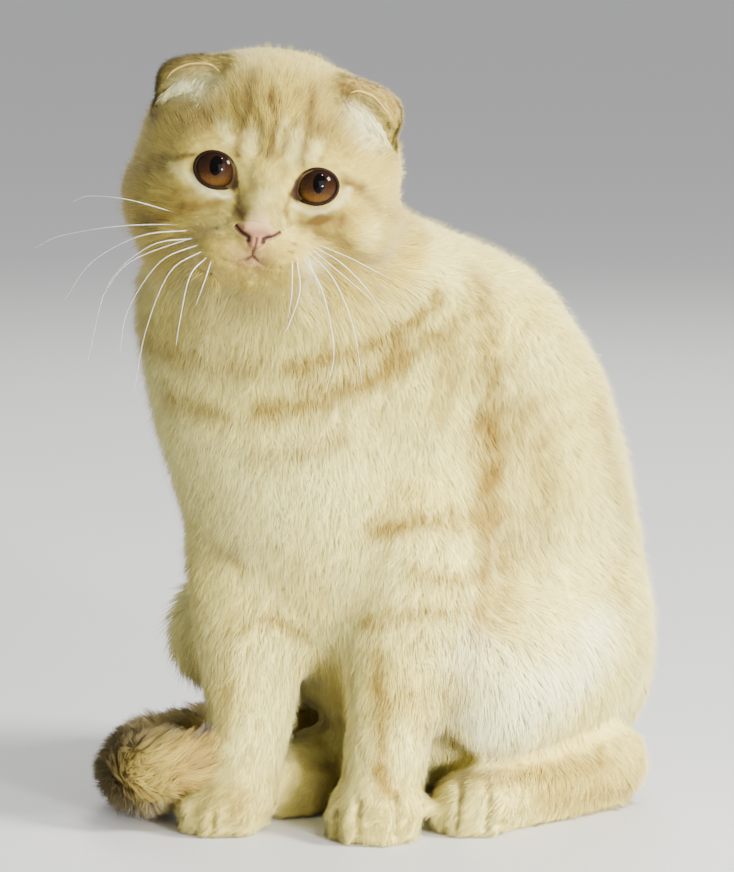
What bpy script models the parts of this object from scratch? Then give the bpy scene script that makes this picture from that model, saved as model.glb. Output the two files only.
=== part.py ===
"""A cream fold-eared cat, sitting upright with its tail brought round over one forepaw.

Metres, +Z up. The chest looks along -Y and the cat's own left is +X. The outline is that of the
coat. The flesh is modelled whole from balls and tapered limbs, blended into one skin, and then
parted into nodes by thin cuts along the body's own joints.
"""

import math

import bmesh
import bpy
from mathutils import Euler, Matrix, Vector
from mathutils.bvhtree import BVHTree

# Sizes that drive the rest
GAP = 0.0003  # between two nodes that touch
FLOOR = 0.0015  # height in the forms where the soft pads and rump are pressed flat
BODY_VOXEL = 0.0028
BODY_PASSES = 30
FINE_VOXEL = 0.0016
FINE_PASSES = 10
HEAD_FACES = 2600
BODY_FACES = 3550
TAIL_FACES = 1100
EAR_FACES = 460
REGION_FACES = 180
REGION_MARGIN = 0.0030  # how far a leg's region reaches past its own flesh

# Where the head sits, and how it is turned towards the cat's left, nodded and tilted
HEAD_CENTRE = Vector((-0.0100, -0.1090, 0.2750))
HEAD_TURN = math.radians(40)
HEAD_NOD = math.radians(2)
HEAD_TILT = math.radians(9.4)

# Head sizes, in the head's own frame: x to its left, -y out of the face, z up
EYE_RADIUS = 0.0105
EYE_PLACE = Vector((0.0202, -0.0318, 0.0028))
EYE_SPLAY = math.radians(12)
LID_THICKNESS = 0.0026
EYE_OPENING = Vector((0.0092, 0.0083))
EYE_SLANT = math.radians(-8)
NOSE_PLACE = Vector((0.0, -0.0550, -0.0190))
NOSE_WIDTH = 0.0150
NOSE_HEIGHT = 0.0105
LIP_WIDTH = 0.0300
LIP_DROOP = 0.0022
LIP_GROOVE = 0.0008
LIP_STEPS = 6
MOUTH_DROP = 0.0310

# Ear sizes: a hood on an oval base, whose rim is folded forward and down over the cup
EAR_PLACE = Vector((0.0330, -0.0042, 0.0322))
EAR_YAW = math.radians(18)
EAR_LEAN = math.radians(43)
EAR_HALF_WIDTH = 0.0200
EAR_HALF_DEPTH = 0.0100
EAR_HEIGHT = 0.0155
EAR_REACH = 0.0140
EAR_RIM = 0.30  # height of the folded rim as a share of the ear's own
EAR_SHEET = 0.0028

# The cuts across the neck, the back and the tail: a point, and the direction of the part cut off
NECK_SLOPE = 0.27
NECK_DROP = 0.050
NECK_CUT = ((-0.014, -0.080, 0.200), (-0.05, -0.35, 0.94))
CHEST_CUT = ((0.0, -0.020, 0.135), (-0.09, -0.56, 0.82))
TAIL_CUTS = (
    ((-0.060, 0.070, 0.0), (0.6, 0.8, 0.0)),
    ((0.0, -0.005, 0.0), (0.0, 1.0, 0.0)),
    ((0.0, -0.085, 0.0), (0.0, 1.0, 0.0)),
)
PAW_REGION = 0.0285
PAW_REGION_AHEAD = 0.0080
PAW_REGION_HEIGHT = 0.0100
TOE_REGION = 0.0300
SHOULDER_REGION = 0.0340
SHOULDER_REGION_OUT = 0.0260


def clear_scene():
    for old in list(bpy.data.objects):
        bpy.data.objects.remove(old)


def object_from(name, bm):
    mesh = bpy.data.meshes.new(name)
    bm.to_mesh(mesh)
    bm.free()
    made = bpy.data.objects.new(name, mesh)
    bpy.context.scene.collection.objects.link(made)
    return made


def copy_of(obj, name):
    made = bpy.data.objects.new(name, obj.data.copy())
    bpy.context.scene.collection.objects.link(made)
    return made


def applied(obj):
    """Keeps what the object's modifiers make as its own mesh."""
    graph = bpy.context.evaluated_depsgraph_get()
    made = bpy.data.meshes.new_from_object(obj.evaluated_get(graph))
    old = obj.data
    obj.modifiers.clear()
    obj.data = made
    bpy.data.meshes.remove(old)
    return obj


def combined(obj, cutter, operation):
    """Cuts, joins or intersects with a closed solid, which is then removed."""
    change = obj.modifiers.new("Combine", "BOOLEAN")
    change.operation = operation
    change.object = cutter
    applied(obj)
    bpy.data.objects.remove(cutter)
    return obj


def thinned(obj, faces):
    count = sum(len(face.vertices) - 2 for face in obj.data.polygons)
    collapse = obj.modifiers.new("Thin", "DECIMATE")
    collapse.ratio = min(1.0, faces / count)
    return applied(obj)


def grown(obj, by):
    """A copy whose surface lies further out all over."""
    made = copy_of(obj, obj.name + "_grown")
    bm = bmesh.new()
    bm.from_mesh(made.data)
    bm.normal_update()
    shifts = [vert.normal * by for vert in bm.verts]
    for vert, shift in zip(bm.verts, shifts):
        vert.co += shift
    bm.to_mesh(made.data)
    bm.free()
    return made


def largest_body(obj):
    """Keeps the node's largest closed surface and drops any loose scrap."""
    bm = bmesh.new()
    bm.from_mesh(obj.data)
    bmesh.ops.triangulate(bm, faces=bm.faces[:])
    bm.verts.ensure_lookup_table()
    waiting = set(bm.verts)
    shells = []
    while waiting:
        seed = waiting.pop()
        shell = [seed]
        for vert in shell:
            for edge in vert.link_edges:
                other = edge.other_vert(vert)
                if other in waiting:
                    waiting.discard(other)
                    shell.append(other)
        shells.append(shell)
    shells.sort(key=len, reverse=True)
    scraps = [vert for shell in shells[1:] for vert in shell]
    bmesh.ops.delete(bm, geom=scraps, context="VERTS")
    bm.to_mesh(obj.data)
    bm.free()
    return obj


def ball(bm, centre, half, turn=(0, 0, 0), detail=3):
    turned = Euler([math.radians(angle) for angle in turn])
    place = Matrix.LocRotScale(Vector(centre), turned, Vector(half))
    bmesh.ops.create_icosphere(bm, subdivisions=detail, radius=1.0, matrix=place)


def limb(bm, stations, grow=0.0, detail=2):
    """A tapered run of flesh: between each two stations lies the hull of two balls or ovals."""
    for pair in zip(stations, stations[1:]):
        stretch = bmesh.new()
        for centre, size in pair:
            half = Vector([size] * 3 if isinstance(size, float) else size)
            ball(stretch, centre, half + Vector([grow] * 3), detail=detail)
        bmesh.ops.delete(stretch, geom=stretch.faces[:] + stretch.edges[:], context="EDGES_FACES")
        bmesh.ops.convex_hull(stretch, input=stretch.verts[:])
        inside = [vert for vert in stretch.verts if not vert.link_faces]
        bmesh.ops.delete(stretch, geom=inside, context="VERTS")
        bmesh.ops.recalc_face_normals(stretch, faces=stretch.faces[:])
        mesh = bpy.data.meshes.new("stretch")
        stretch.to_mesh(mesh)
        stretch.free()
        bm.from_mesh(mesh)
        bpy.data.meshes.remove(mesh)


def half_space(name, point, normal, depth=0.5):
    """A block whose one face passes through the point, with the block on the normal's side."""
    bm = bmesh.new()
    turn = Vector(normal).normalized().to_track_quat("Z", "Y")
    place = Matrix.LocRotScale(Vector(point) + Vector(normal).normalized() * depth / 2, turn, None)
    bmesh.ops.create_cube(bm, size=depth, matrix=place)
    return object_from(name, bm)


def blended(name, pieces, voxel, passes):
    """One closed skin over the pieces, with its creases softened, in place of the pieces."""
    bm = bmesh.new()
    for piece in pieces:
        bm.from_mesh(piece.data)
        bpy.data.objects.remove(piece)
    made = object_from(name, bm)
    skin = made.modifiers.new("Blend", "REMESH")
    skin.mode = "VOXEL"
    skin.voxel_size = voxel
    soften = made.modifiers.new("Soften", "SMOOTH")
    soften.factor = 0.5
    soften.iterations = passes
    return applied(made)


# The trunk: a run of ovals from the rump up to the neck, and another down the front of the chest
BACK_RUN = (
    ((0.002, 0.038, 0.062), (0.068, 0.060, 0.064)),
    ((0.002, 0.024, 0.110), (0.069, 0.066, 0.058)),
    ((0.001, 0.012, 0.140), (0.071, 0.070, 0.056)),
    ((-0.001, 0.000, 0.172), (0.071, 0.070, 0.052)),
    ((-0.002, -0.020, 0.200), (0.068, 0.066, 0.048)),
    ((-0.010, -0.060, 0.224), (0.056, 0.055, 0.040)),
    ((-0.018, -0.088, 0.242), (0.050, 0.048, 0.038)),
)
FRONT_RUN = (
    ((0.002, -0.006, 0.046), (0.056, 0.052, 0.042)),
    ((-0.004, -0.018, 0.088), (0.062, 0.060, 0.056)),
    ((-0.024, -0.066, 0.140), (0.058, 0.057, 0.050)),
    ((-0.026, -0.084, 0.184), (0.058, 0.056, 0.050)),
    ((-0.027, -0.096, 0.222), (0.057, 0.052, 0.040)),
    ((-0.018, -0.092, 0.246), (0.052, 0.050, 0.036)),
)


# The ribs between the two, so that the flank is full
RIB_RUN = (
    ((-0.006, -0.024, 0.135), (0.063, 0.056, 0.046)),
    ((-0.010, -0.042, 0.180), (0.065, 0.060, 0.048)),
    ((-0.015, -0.064, 0.212), (0.059, 0.052, 0.040)),
)


def trunk():
    bm = bmesh.new()
    limb(bm, BACK_RUN, detail=3)
    limb(bm, FRONT_RUN, detail=3)
    limb(bm, RIB_RUN, detail=3)
    return object_from("trunk", bm)


# The legs: stations of centre and size, from the body outwards
THIGHS = {
    "left": (
        ((0.040, 0.020, 0.078), (0.044, 0.048, 0.052)),
        ((0.054, -0.036, 0.064), (0.031, 0.031, 0.033)),
    ),
    "right": (
        ((-0.040, 0.012, 0.080), (0.044, 0.048, 0.052)),
        ((-0.073, -0.060, 0.074), (0.031, 0.031, 0.031)),
    ),
}
HIND_FEET = {
    "left": (
        ((0.061, 0.026, 0.0205), 0.0210),
        ((0.058, -0.008, 0.0170), 0.0185),
        ((0.052, -0.041, 0.0155), 0.0170),
    ),
    "right": (
        ((-0.052, 0.020, 0.0205), 0.0210),
        ((-0.044, -0.022, 0.0170), 0.0185),
        ((-0.034, -0.064, 0.0155), 0.0170),
    ),
}
FOOT_REACH = 0.0150
FORELEGS = {
    "left": (
        ((0.006, -0.040, 0.164), 0.046),
        ((0.0265, -0.0590, 0.112), 0.0330),
        ((0.0235, -0.0690, 0.048), 0.0200),
        ((0.0240, -0.0780, 0.0155), 0.0175),
    ),
    "right": (
        ((-0.028, -0.070, 0.164), 0.046),
        ((-0.0385, -0.0850, 0.112), 0.0325),
        ((-0.0335, -0.0935, 0.048), 0.0195),
        ((-0.0310, -0.1060, 0.0155), 0.0175),
    ),
}
PAW_HEADINGS = {"left": math.radians(28), "right": math.radians(2)}
PAW_REACH = 0.0180
FOREARM_START = 0.30  # how far down from the elbow the leg's own finer flesh begins


def add_toes(bm, centre, heading, reach):
    """Four toes fanned round the front of a paw, the middle two furthest out."""
    for swing in (-46, -15, 15, 46):
        angle = heading + math.radians(swing)
        out = reach + (0.0030 if abs(swing) < 20 else 0.0)
        tip = centre + Vector((math.sin(angle) * out, -math.cos(angle) * out, -0.0055))
        limb(bm, [(centre, 0.0120), (tip, 0.0096)])


def between(upper, lower, share):
    """The station at a share of the way from one to the next."""
    centre = Vector(upper[0]).lerp(Vector(lower[0]), share)
    return (tuple(centre), upper[1] + (lower[1] - upper[1]) * share)


def leg_flesh(name, stations, heading=None, reach=PAW_REACH):
    bm = bmesh.new()
    limb(bm, stations, detail=3)
    if heading is not None:
        end, radius = stations[-1]
        ahead = Vector((math.sin(heading), -math.cos(heading), 0))
        ball(bm, Vector(end) + ahead * 0.003 - Vector((0, 0, 0.001)), (0.0215, 0.0210, 0.0150))
        add_toes(bm, Vector(end), heading, reach)
    return object_from(name, bm)


def foot_heading(stations):
    run = Vector(stations[-1][0]) - Vector(stations[0][0])
    return math.atan2(run.x, -run.y)


# The tail: laid round the right haunch, its end curled over the right forepaw
TAIL_ROUTE = (
    ((0.006, 0.074, 0.034), 0.0250),
    ((-0.034, 0.082, 0.0215), 0.0210),
    ((-0.074, 0.062, 0.0190), 0.0190),
    ((-0.098, 0.020, 0.0180), 0.0180),
    ((-0.106, -0.026, 0.0176), 0.0176),
    ((-0.102, -0.072, 0.0180), 0.0180),
    ((-0.087, -0.104, 0.0200), 0.0202),
    ((-0.068, -0.124, 0.0220), 0.0220),
    ((-0.048, -0.124, 0.0265), 0.0205),
    ((-0.037, -0.112, 0.0320), 0.0165),
)


def tail_flesh():
    bm = bmesh.new()
    limb(bm, TAIL_ROUTE)
    return object_from("tail", bm)


# The head, built in its own frame and then set on the neck
def head_place():
    turn = Matrix.Rotation(HEAD_TURN, 4, "Z")
    nod = Matrix.Rotation(HEAD_NOD, 4, "X")
    tilt = Matrix.Rotation(HEAD_TILT, 4, "Y")
    return Matrix.Translation(HEAD_CENTRE) @ turn @ nod @ tilt


def mirrored(place, side):
    return Vector((place.x * side, place.y, place.z))


def skull_flesh():
    bm = bmesh.new()
    ball(bm, (0, 0.007, 0.008), (0.0555, 0.0500, 0.0455))  # crown
    ball(bm, (0, 0.001, 0.018), (0.0440, 0.0410, 0.0355))  # brow
    ball(bm, (0, 0.001, -0.012), (0.0600, 0.0440, 0.0360))  # cheeks
    for side in (-1, 1):
        ball(bm, (side * 0.0280, -0.0050, 0.0060), (0.0270, 0.0335, 0.0320))  # temple
        ball(bm, (side * 0.0300, -0.0060, -0.0150), (0.0280, 0.0345, 0.0290))  # jowl
    return object_from("skull", bm)


def face_flesh():
    bm = bmesh.new()
    limb(bm, [((0, -0.0270, 0.0120), 0.0160), ((0, -0.0440, -0.0150), 0.0095)])  # bridge of the nose
    for side in (-1, 1):
        turn = (0, side * 14, side * 16)
        ball(bm, (side * 0.0120, -0.0405, -0.0265), (0.0165, 0.0140, 0.0110), turn)  # lip pad
        ball(bm, mirrored(EYE_PLACE, side), [EYE_RADIUS + LID_THICKNESS] * 3)
    ball(bm, (0, -0.0380, -0.0355), (0.0125, 0.0120, 0.0090))  # chin
    return object_from("face", bm)


def head_flesh():
    skull = blended("skull", [skull_flesh()], 0.0020, 16)
    return blended("head_flesh", [skull, face_flesh()], 0.0014, 10)


def eye_frame(side, place):
    splay = Matrix.Rotation(side * EYE_SPLAY, 4, "Z")
    return place @ Matrix.Translation(mirrored(EYE_PLACE, side)) @ splay


def eyeball(name, side, place, radius):
    bm = bmesh.new()
    bmesh.ops.create_uvsphere(bm, u_segments=20, v_segments=12, radius=radius)
    stand = Matrix.Rotation(math.radians(90), 4, "X")
    bm.transform(eye_frame(side, place) @ stand)
    return object_from(name, bm)


def open_eyes(head, place):
    """Cuts the sockets and the openings between the lids."""
    for side in (-1, 1):
        combined(head, eyeball("socket", side, place, EYE_RADIUS + GAP), "DIFFERENCE")
        bm = bmesh.new()
        wide, narrow = EYE_OPENING.x * 1.22, EYE_OPENING.x
        bmesh.ops.create_cone(bm, cap_ends=True, segments=24, radius1=narrow, radius2=wide, depth=0.016)
        stand = Matrix.Rotation(math.radians(90), 4, "X")
        squash = Matrix.Diagonal((1, 1, EYE_OPENING.y / EYE_OPENING.x, 1))
        slant = Matrix.Rotation(side * EYE_SLANT, 4, "Y")
        bm.transform(eye_frame(side, place) @ slant @ Matrix.Translation((0, -0.0130, 0)) @ squash @ stand)
        combined(head, object_from("opening", bm), "DIFFERENCE")


def nose_solid(name, place, grow=0.0):
    """The leather: a rounded shield, broad above and narrow below."""
    bm = bmesh.new()
    wide = NOSE_WIDTH / 2 - 0.0026
    for side in (-1, 1):
        top = NOSE_PLACE + Vector((side * wide, 0.0022, NOSE_HEIGHT * 0.30))
        low = NOSE_PLACE + Vector((side * 0.0008, -0.0002, -NOSE_HEIGHT * 0.36))
        limb(bm, [(top, 0.0026), (low, 0.0022)], grow)
    shape = bmesh.new()
    for vert in bm.verts:
        shape.verts.new(vert.co)
    bm.free()
    bmesh.ops.convex_hull(shape, input=shape.verts[:])
    loose = [vert for vert in shape.verts if not vert.link_faces]
    bmesh.ops.delete(shape, geom=loose, context="VERTS")
    bmesh.ops.recalc_face_normals(shape, faces=shape.faces[:])
    shape.transform(place)
    return object_from(name, shape)


def cut_nostrils(nose, place):
    for side in (-1, 1):
        bm = bmesh.new()
        inner = NOSE_PLACE + Vector((side * 0.0030, -0.0040, -0.0012))
        outer = NOSE_PLACE + Vector((side * 0.0068, -0.0006, 0.0014))
        limb(bm, [(inner, 0.0012), (outer, 0.0007)])
        bm.transform(place)
        combined(nose, object_from("nostril", bm), "DIFFERENCE")


def cut_mouth(head, place):
    """Grooves the philtrum and the line of the lips where the face's own surface lies."""
    surface = BVHTree.FromObject(head, bpy.context.evaluated_depsgraph_get())
    forward = place.to_3x3() @ Vector((0, -1, 0))

    def on_face(x, z):
        start = place @ Vector((x, -0.12, z))
        hit = surface.ray_cast(start, -forward)
        return hit[0]

    top = NOSE_PLACE.z - NOSE_HEIGHT * 0.45
    lines = [[on_face(0, top + (-MOUTH_DROP - top) * step / 3) for step in range(4)]]
    for side in (-1, 1):
        outs = [step / LIP_STEPS for step in range(LIP_STEPS + 1)]
        drops = [MOUTH_DROP + LIP_DROOP * math.sin(out * math.pi) for out in outs]
        lines.append([on_face(side * LIP_WIDTH / 2 * out, -drop) for out, drop in zip(outs, drops)])
    for line in lines:
        combined(head, tube("groove", line, LIP_GROOVE), "DIFFERENCE")


def tube(name, points, radius):
    curve = bpy.data.curves.new(name, "CURVE")
    curve.dimensions = "3D"
    curve.bevel_depth = radius
    curve.bevel_resolution = 1
    curve.use_fill_caps = True
    spline = curve.splines.new("POLY")
    spline.points.add(len(points) - 1)
    for knot, point in zip(spline.points, points):
        knot.co = (*point, 1.0)
    run = bpy.data.objects.new(name, curve)
    bpy.context.scene.collection.objects.link(run)
    mesh = bpy.data.meshes.new_from_object(run.evaluated_get(bpy.context.evaluated_depsgraph_get()))
    bpy.data.objects.remove(run)
    made = bpy.data.objects.new(name, mesh)
    bpy.context.scene.collection.objects.link(made)
    return made


# The ears: small hoods set like caps on the sides of the crown
def ear(side, place):
    bm = bmesh.new()
    columns, rows = 14, 10
    grid = []
    for column in range(columns + 1):
        across = -1 + 2 * column / columns
        round_off = math.sqrt(max(0.0, 1 - (across * 0.96) ** 2))
        peak = 0.30
        slope = (across - peak) / ((1 - peak) if across > peak else (1 + peak))
        height = EAR_HEIGHT * (1 - abs(slope) ** 1.7) + 0.0020
        depth = EAR_HALF_DEPTH * round_off
        reach = EAR_REACH * (1 - abs(slope) ** 2.0) + 0.0010
        rim = height * EAR_RIM
        points = (
            Vector((across * EAR_HALF_WIDTH, depth, -0.0045)),
            Vector((across * EAR_HALF_WIDTH * 1.02, depth * 1.15, height * 0.80)),
            Vector((across * EAR_HALF_WIDTH, -0.15 * reach, height * 1.42)),
            Vector((across * EAR_HALF_WIDTH * 0.96, -reach, rim)),
        )
        strip = []
        for row in range(rows + 1):
            t = row / rows
            weights = ((1 - t) ** 3, 3 * t * (1 - t) ** 2, 3 * t * t * (1 - t), t ** 3)
            at = sum((point * weight for point, weight in zip(points, weights)), Vector())
            strip.append(bm.verts.new(at))
        grid.append(strip)
    for left, right in zip(grid, grid[1:]):
        for row in range(rows):
            bm.faces.new((left[row], right[row], right[row + 1], left[row + 1]))
    lean = Matrix.Rotation(EAR_LEAN, 4, "Y")
    local = Matrix.Translation(EAR_PLACE) @ Matrix.Rotation(EAR_YAW, 4, "Z") @ lean
    bm.transform(local)
    if side < 0:
        bm.transform(Matrix.Diagonal((-1, 1, 1, 1)))
    bm.transform(place)
    bmesh.ops.recalc_face_normals(bm, faces=bm.faces[:])
    made = object_from("ear_left" if side > 0 else "ear_right", bm)
    sheet = made.modifiers.new("Sheet", "SOLIDIFY")
    sheet.thickness = EAR_SHEET
    sheet.offset = 0.0
    applied(made)
    return thinned(blended(made.name, [made], 0.0009, 3), EAR_FACES)


# The cuts: each region is a solid, and what lies inside it becomes a node
def limb_region(stations):
    def make(gap):
        bm = bmesh.new()
        limb(bm, stations, REGION_MARGIN)
        made = object_from("region", bm)
        join = made.modifiers.new("Join", "REMESH")
        join.mode = "VOXEL"
        join.voxel_size = BODY_VOXEL
        thinned(applied(made), REGION_FACES)
        return with_gap(made, gap)

    return make


def paw_region(stations, heading):
    ahead = Vector((math.sin(heading), -math.cos(heading), 0))
    centre = Vector(stations[-1][0]) + ahead * PAW_REGION_AHEAD
    centre.z = PAW_REGION_HEIGHT

    def make(gap):
        bm = bmesh.new()
        ball(bm, centre, [PAW_REGION] * 3)
        return with_gap(object_from("region", bm), gap)

    return make


def plane_region(point, normal):
    """All that lies on the normal's side of a plane."""

    def make(gap):
        return half_space("region", Vector(point) - Vector(normal).normalized() * gap, normal)

    return make


def with_gap(made, gap):
    if not gap:
        return made
    wider = grown(made, gap)
    bpy.data.objects.remove(made)
    return wider


def parted(rest, name, make_region):
    """Takes what lies inside a region as a node of its own, and leaves a gap round it."""
    piece = copy_of(rest, name)
    combined(piece, make_region(0.0), "INTERSECT")
    combined(rest, make_region(GAP), "DIFFERENCE")
    return largest_body(piece)


def cut_from_floor(obj):
    """Presses soft pads into small flats on the floor."""
    return combined(obj, half_space("floor", (0, 0, FLOOR), (0, 0, -1)), "DIFFERENCE")


def head_line():
    """The plane under the chin and up behind the crown, where the head leaves the neck."""
    facing = Vector((math.sin(HEAD_TURN), -math.cos(HEAD_TURN), 0))
    normal = (Vector((0, 0, 1)) + facing * NECK_SLOPE).normalized()
    return HEAD_CENTRE + facing * 0.030 - Vector((0, 0, NECK_DROP)), normal


def split_head(whole):
    point, normal = head_line()
    head = copy_of(whole, "head")
    combined(head, half_space("above", point, normal), "INTERSECT")
    combined(whole, half_space("above", point, normal), "DIFFERENCE")
    thinned(head, HEAD_FACES)
    thinned(whole, BODY_FACES)
    combined(head, half_space("below", point + normal * GAP / 2, -normal), "DIFFERENCE")
    combined(whole, half_space("above", point - normal * GAP / 2, normal), "DIFFERENCE")
    return head


def part_tail(rest):
    tail = cut_from_floor(thinned(blended("tail", [tail_flesh()], FINE_VOXEL, 6), TAIL_FACES))
    combined(tail, grown(rest, GAP), "DIFFERENCE")
    for number, (point, normal) in enumerate(TAIL_CUTS):
        parted(tail, f"tail_{number + 1}", plane_region(point, normal))
    tail.name = f"tail_{len(TAIL_CUTS) + 1}"
    largest_body(tail)


def part_body(rest):
    for side, sign in (("left", 1), ("right", -1)):
        foot, leg = HIND_FEET[side], FORELEGS[side]
        parted(rest, f"hind_foot_{side}", limb_region(foot + ((foot[-1][0], TOE_REGION),)))
        parted(rest, f"forepaw_{side}", paw_region(leg, PAW_HEADINGS[side]))
        shoulder = Vector(leg[0][0]) + Vector((sign * SHOULDER_REGION_OUT, 0, 0))
        parted(rest, f"foreleg_{side}", limb_region(((shoulder, SHOULDER_REGION),) + leg[1:]))
    for side in ("left", "right"):
        parted(rest, f"thigh_{side}", limb_region(THIGHS[side]))
    parted(rest, "neck", plane_region(*NECK_CUT))
    parted(rest, "chest", plane_region(*CHEST_CUT))
    rest.name = "abdomen"
    largest_body(rest)


def face_features(head, place):
    open_eyes(head, place)
    cut_mouth(head, place)
    nose = nose_solid("nose", place)
    cut_nostrils(nose, place)
    largest_body(nose)
    combined(head, nose_solid("nose_bed", place, GAP), "DIFFERENCE")
    largest_body(head)
    for side in (-1, 1):
        eyeball("eye_left" if side > 0 else "eye_right", side, place, EYE_RADIUS)
        largest_body(combined(ear(side, place), grown(head, GAP), "DIFFERENCE"))


def centred():
    """Puts the middle of the box's underside at the origin."""
    corners = [vert.co for obj in bpy.data.objects for vert in obj.data.vertices]
    low = Vector([min(corner[axis] for corner in corners) for axis in range(3)])
    high = Vector([max(corner[axis] for corner in corners) for axis in range(3)])
    middle = (low + high) / 2
    for obj in bpy.data.objects:
        obj.data.transform(Matrix.Translation((-middle.x, -middle.y, -low.z)))


FINISHES = {
    "coat": ((0.80, 0.62, 0.38), 0.85),
    "tail": ((0.60, 0.42, 0.20), 0.85),
    "ear": ((0.66, 0.47, 0.25), 0.85),
    "eye": ((0.16, 0.06, 0.015), 0.05),
    "nose": ((0.62, 0.33, 0.27), 0.50),
}


def finished():
    for obj in bpy.data.objects:
        kind = obj.name.split("_")[0]
        colour, roughness = FINISHES.get(kind, FINISHES["coat"])
        material = bpy.data.materials.new(obj.name)
        material.use_nodes = True
        shader = material.node_tree.nodes["Principled BSDF"]
        shader.inputs["Base Color"].default_value = (*colour, 1.0)
        shader.inputs["Roughness"].default_value = roughness
        shader.inputs["Metallic"].default_value = 0.0
        obj.data.materials.clear()
        obj.data.materials.append(material)
        if kind == "eye":
            obj.data.shade_smooth()


def main():
    clear_scene()
    place = head_place()
    head_form = head_flesh()
    head_form.data.transform(place)
    forms = [trunk()]
    for side in ("left", "right"):
        shoulder, elbow, wrist, paw = FORELEGS[side]
        forms.append(leg_flesh("thigh", THIGHS[side]))
        forms.append(leg_flesh("upper_arm", (shoulder, elbow, between(elbow, wrist, 0.6))))
    pieces = [blended("body", forms, BODY_VOXEL, BODY_PASSES), head_form]
    for side in ("left", "right"):
        shoulder, elbow, wrist, paw = FORELEGS[side]
        forearm = (between(elbow, wrist, FOREARM_START), wrist, paw)
        pieces.append(leg_flesh("foreleg", forearm, PAW_HEADINGS[side]))
        foot = HIND_FEET[side]
        pieces.append(leg_flesh("foot", foot, foot_heading(foot), FOOT_REACH))
    rest = blended("cat", pieces, FINE_VOXEL, FINE_PASSES)
    head = split_head(rest)
    cut_from_floor(rest)
    part_tail(rest)
    face_features(head, place)
    part_body(rest)
    centred()
    finished()


main()
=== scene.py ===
"""The looks of a cream fold-eared cat, sitting with its tail round one forepaw.

Metres, +Z up. The chest looks along -Y and the cat's own left is +X.
"""

import math

import bmesh
import bpy
import numpy as np
from mathutils import Matrix, Vector
from mathutils.bvhtree import BVHTree
from mathutils.kdtree import KDTree


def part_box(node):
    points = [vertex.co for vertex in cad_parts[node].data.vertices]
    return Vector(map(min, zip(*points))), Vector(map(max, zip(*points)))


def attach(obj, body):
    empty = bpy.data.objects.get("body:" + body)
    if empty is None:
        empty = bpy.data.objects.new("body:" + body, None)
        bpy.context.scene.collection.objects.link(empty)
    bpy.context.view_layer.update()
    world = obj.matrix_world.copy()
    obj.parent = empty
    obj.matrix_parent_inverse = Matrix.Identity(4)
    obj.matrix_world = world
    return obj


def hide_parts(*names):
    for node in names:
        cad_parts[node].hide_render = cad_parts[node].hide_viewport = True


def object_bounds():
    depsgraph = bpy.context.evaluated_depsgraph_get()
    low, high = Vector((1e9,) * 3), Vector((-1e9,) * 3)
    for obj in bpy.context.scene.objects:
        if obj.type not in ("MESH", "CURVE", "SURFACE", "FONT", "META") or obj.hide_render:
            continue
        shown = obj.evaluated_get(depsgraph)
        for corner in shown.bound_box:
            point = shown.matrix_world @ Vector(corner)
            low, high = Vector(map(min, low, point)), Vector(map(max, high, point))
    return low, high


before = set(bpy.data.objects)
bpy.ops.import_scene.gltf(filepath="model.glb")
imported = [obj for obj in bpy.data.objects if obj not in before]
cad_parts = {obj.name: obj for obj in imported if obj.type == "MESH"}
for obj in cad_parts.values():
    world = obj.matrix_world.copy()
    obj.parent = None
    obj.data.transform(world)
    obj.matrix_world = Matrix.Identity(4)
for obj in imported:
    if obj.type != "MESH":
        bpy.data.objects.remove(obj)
cad_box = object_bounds()

# ---- The camera
# It stands level with the cat's chest, on its left front, and looks slightly down on it. The
# head faces the camera, so the head's own frame (x to its left, -y out of the face, z up) is set
# up here too, from the left eye's place.
HEAD_TURN = math.radians(40)
HEAD_NOD = math.radians(2)
HEAD_TILT = math.radians(9.4)
EYE_PLACE = Vector((0.0202, -0.0318, 0.0028))
VIEW_AZIMUTH = math.radians(40)
VIEW_ELEVATION = math.radians(7.5)
VIEW_DISTANCE = 1.8
VIEW_SPAN = 0.375  # height of the picture where the cat is
PICTURE = (734, 872)
FILM = 0.036
AIM_FROM_HEAD = Vector((-0.0180, 0.0850, -0.1165))

head_turned = (
    Matrix.Rotation(HEAD_TURN, 3, "Z")
    @ Matrix.Rotation(HEAD_NOD, 3, "X")
    @ Matrix.Rotation(HEAD_TILT, 3, "Y")
)
eye_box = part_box("eye_left")
head_middle = (eye_box[0] + eye_box[1]) / 2 - head_turned @ EYE_PLACE
HEAD_MIDDLE = np.array(head_middle)
HEAD_AXES = np.array(head_turned)

aim = head_middle + AIM_FROM_HEAD
backwards = Vector(
    (
        math.sin(VIEW_AZIMUTH) * math.cos(VIEW_ELEVATION),
        -math.cos(VIEW_AZIMUTH) * math.cos(VIEW_ELEVATION),
        math.sin(VIEW_ELEVATION),
    )
)
camera = bpy.data.objects.new("camera", bpy.data.cameras.new("camera"))
bpy.context.scene.collection.objects.link(camera)
camera.location = aim + backwards * VIEW_DISTANCE
camera.rotation_euler = backwards.to_track_quat("Z", "Y").to_euler()
camera.data.sensor_width = FILM * 1000
camera.data.lens = FILM * 1000 * VIEW_DISTANCE / VIEW_SPAN
bpy.context.scene.camera = camera


def sight(pixel):
    """The direction from the camera through a pixel of the picture."""
    scale = VIEW_SPAN / VIEW_DISTANCE / PICTURE[1]
    across = (pixel[0] - PICTURE[0] / 2) * scale
    up = (PICTURE[1] / 2 - pixel[1]) * scale
    turned = camera.rotation_euler.to_matrix()
    return (turned @ Vector((across, up, -1.0))).normalized()


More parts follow.
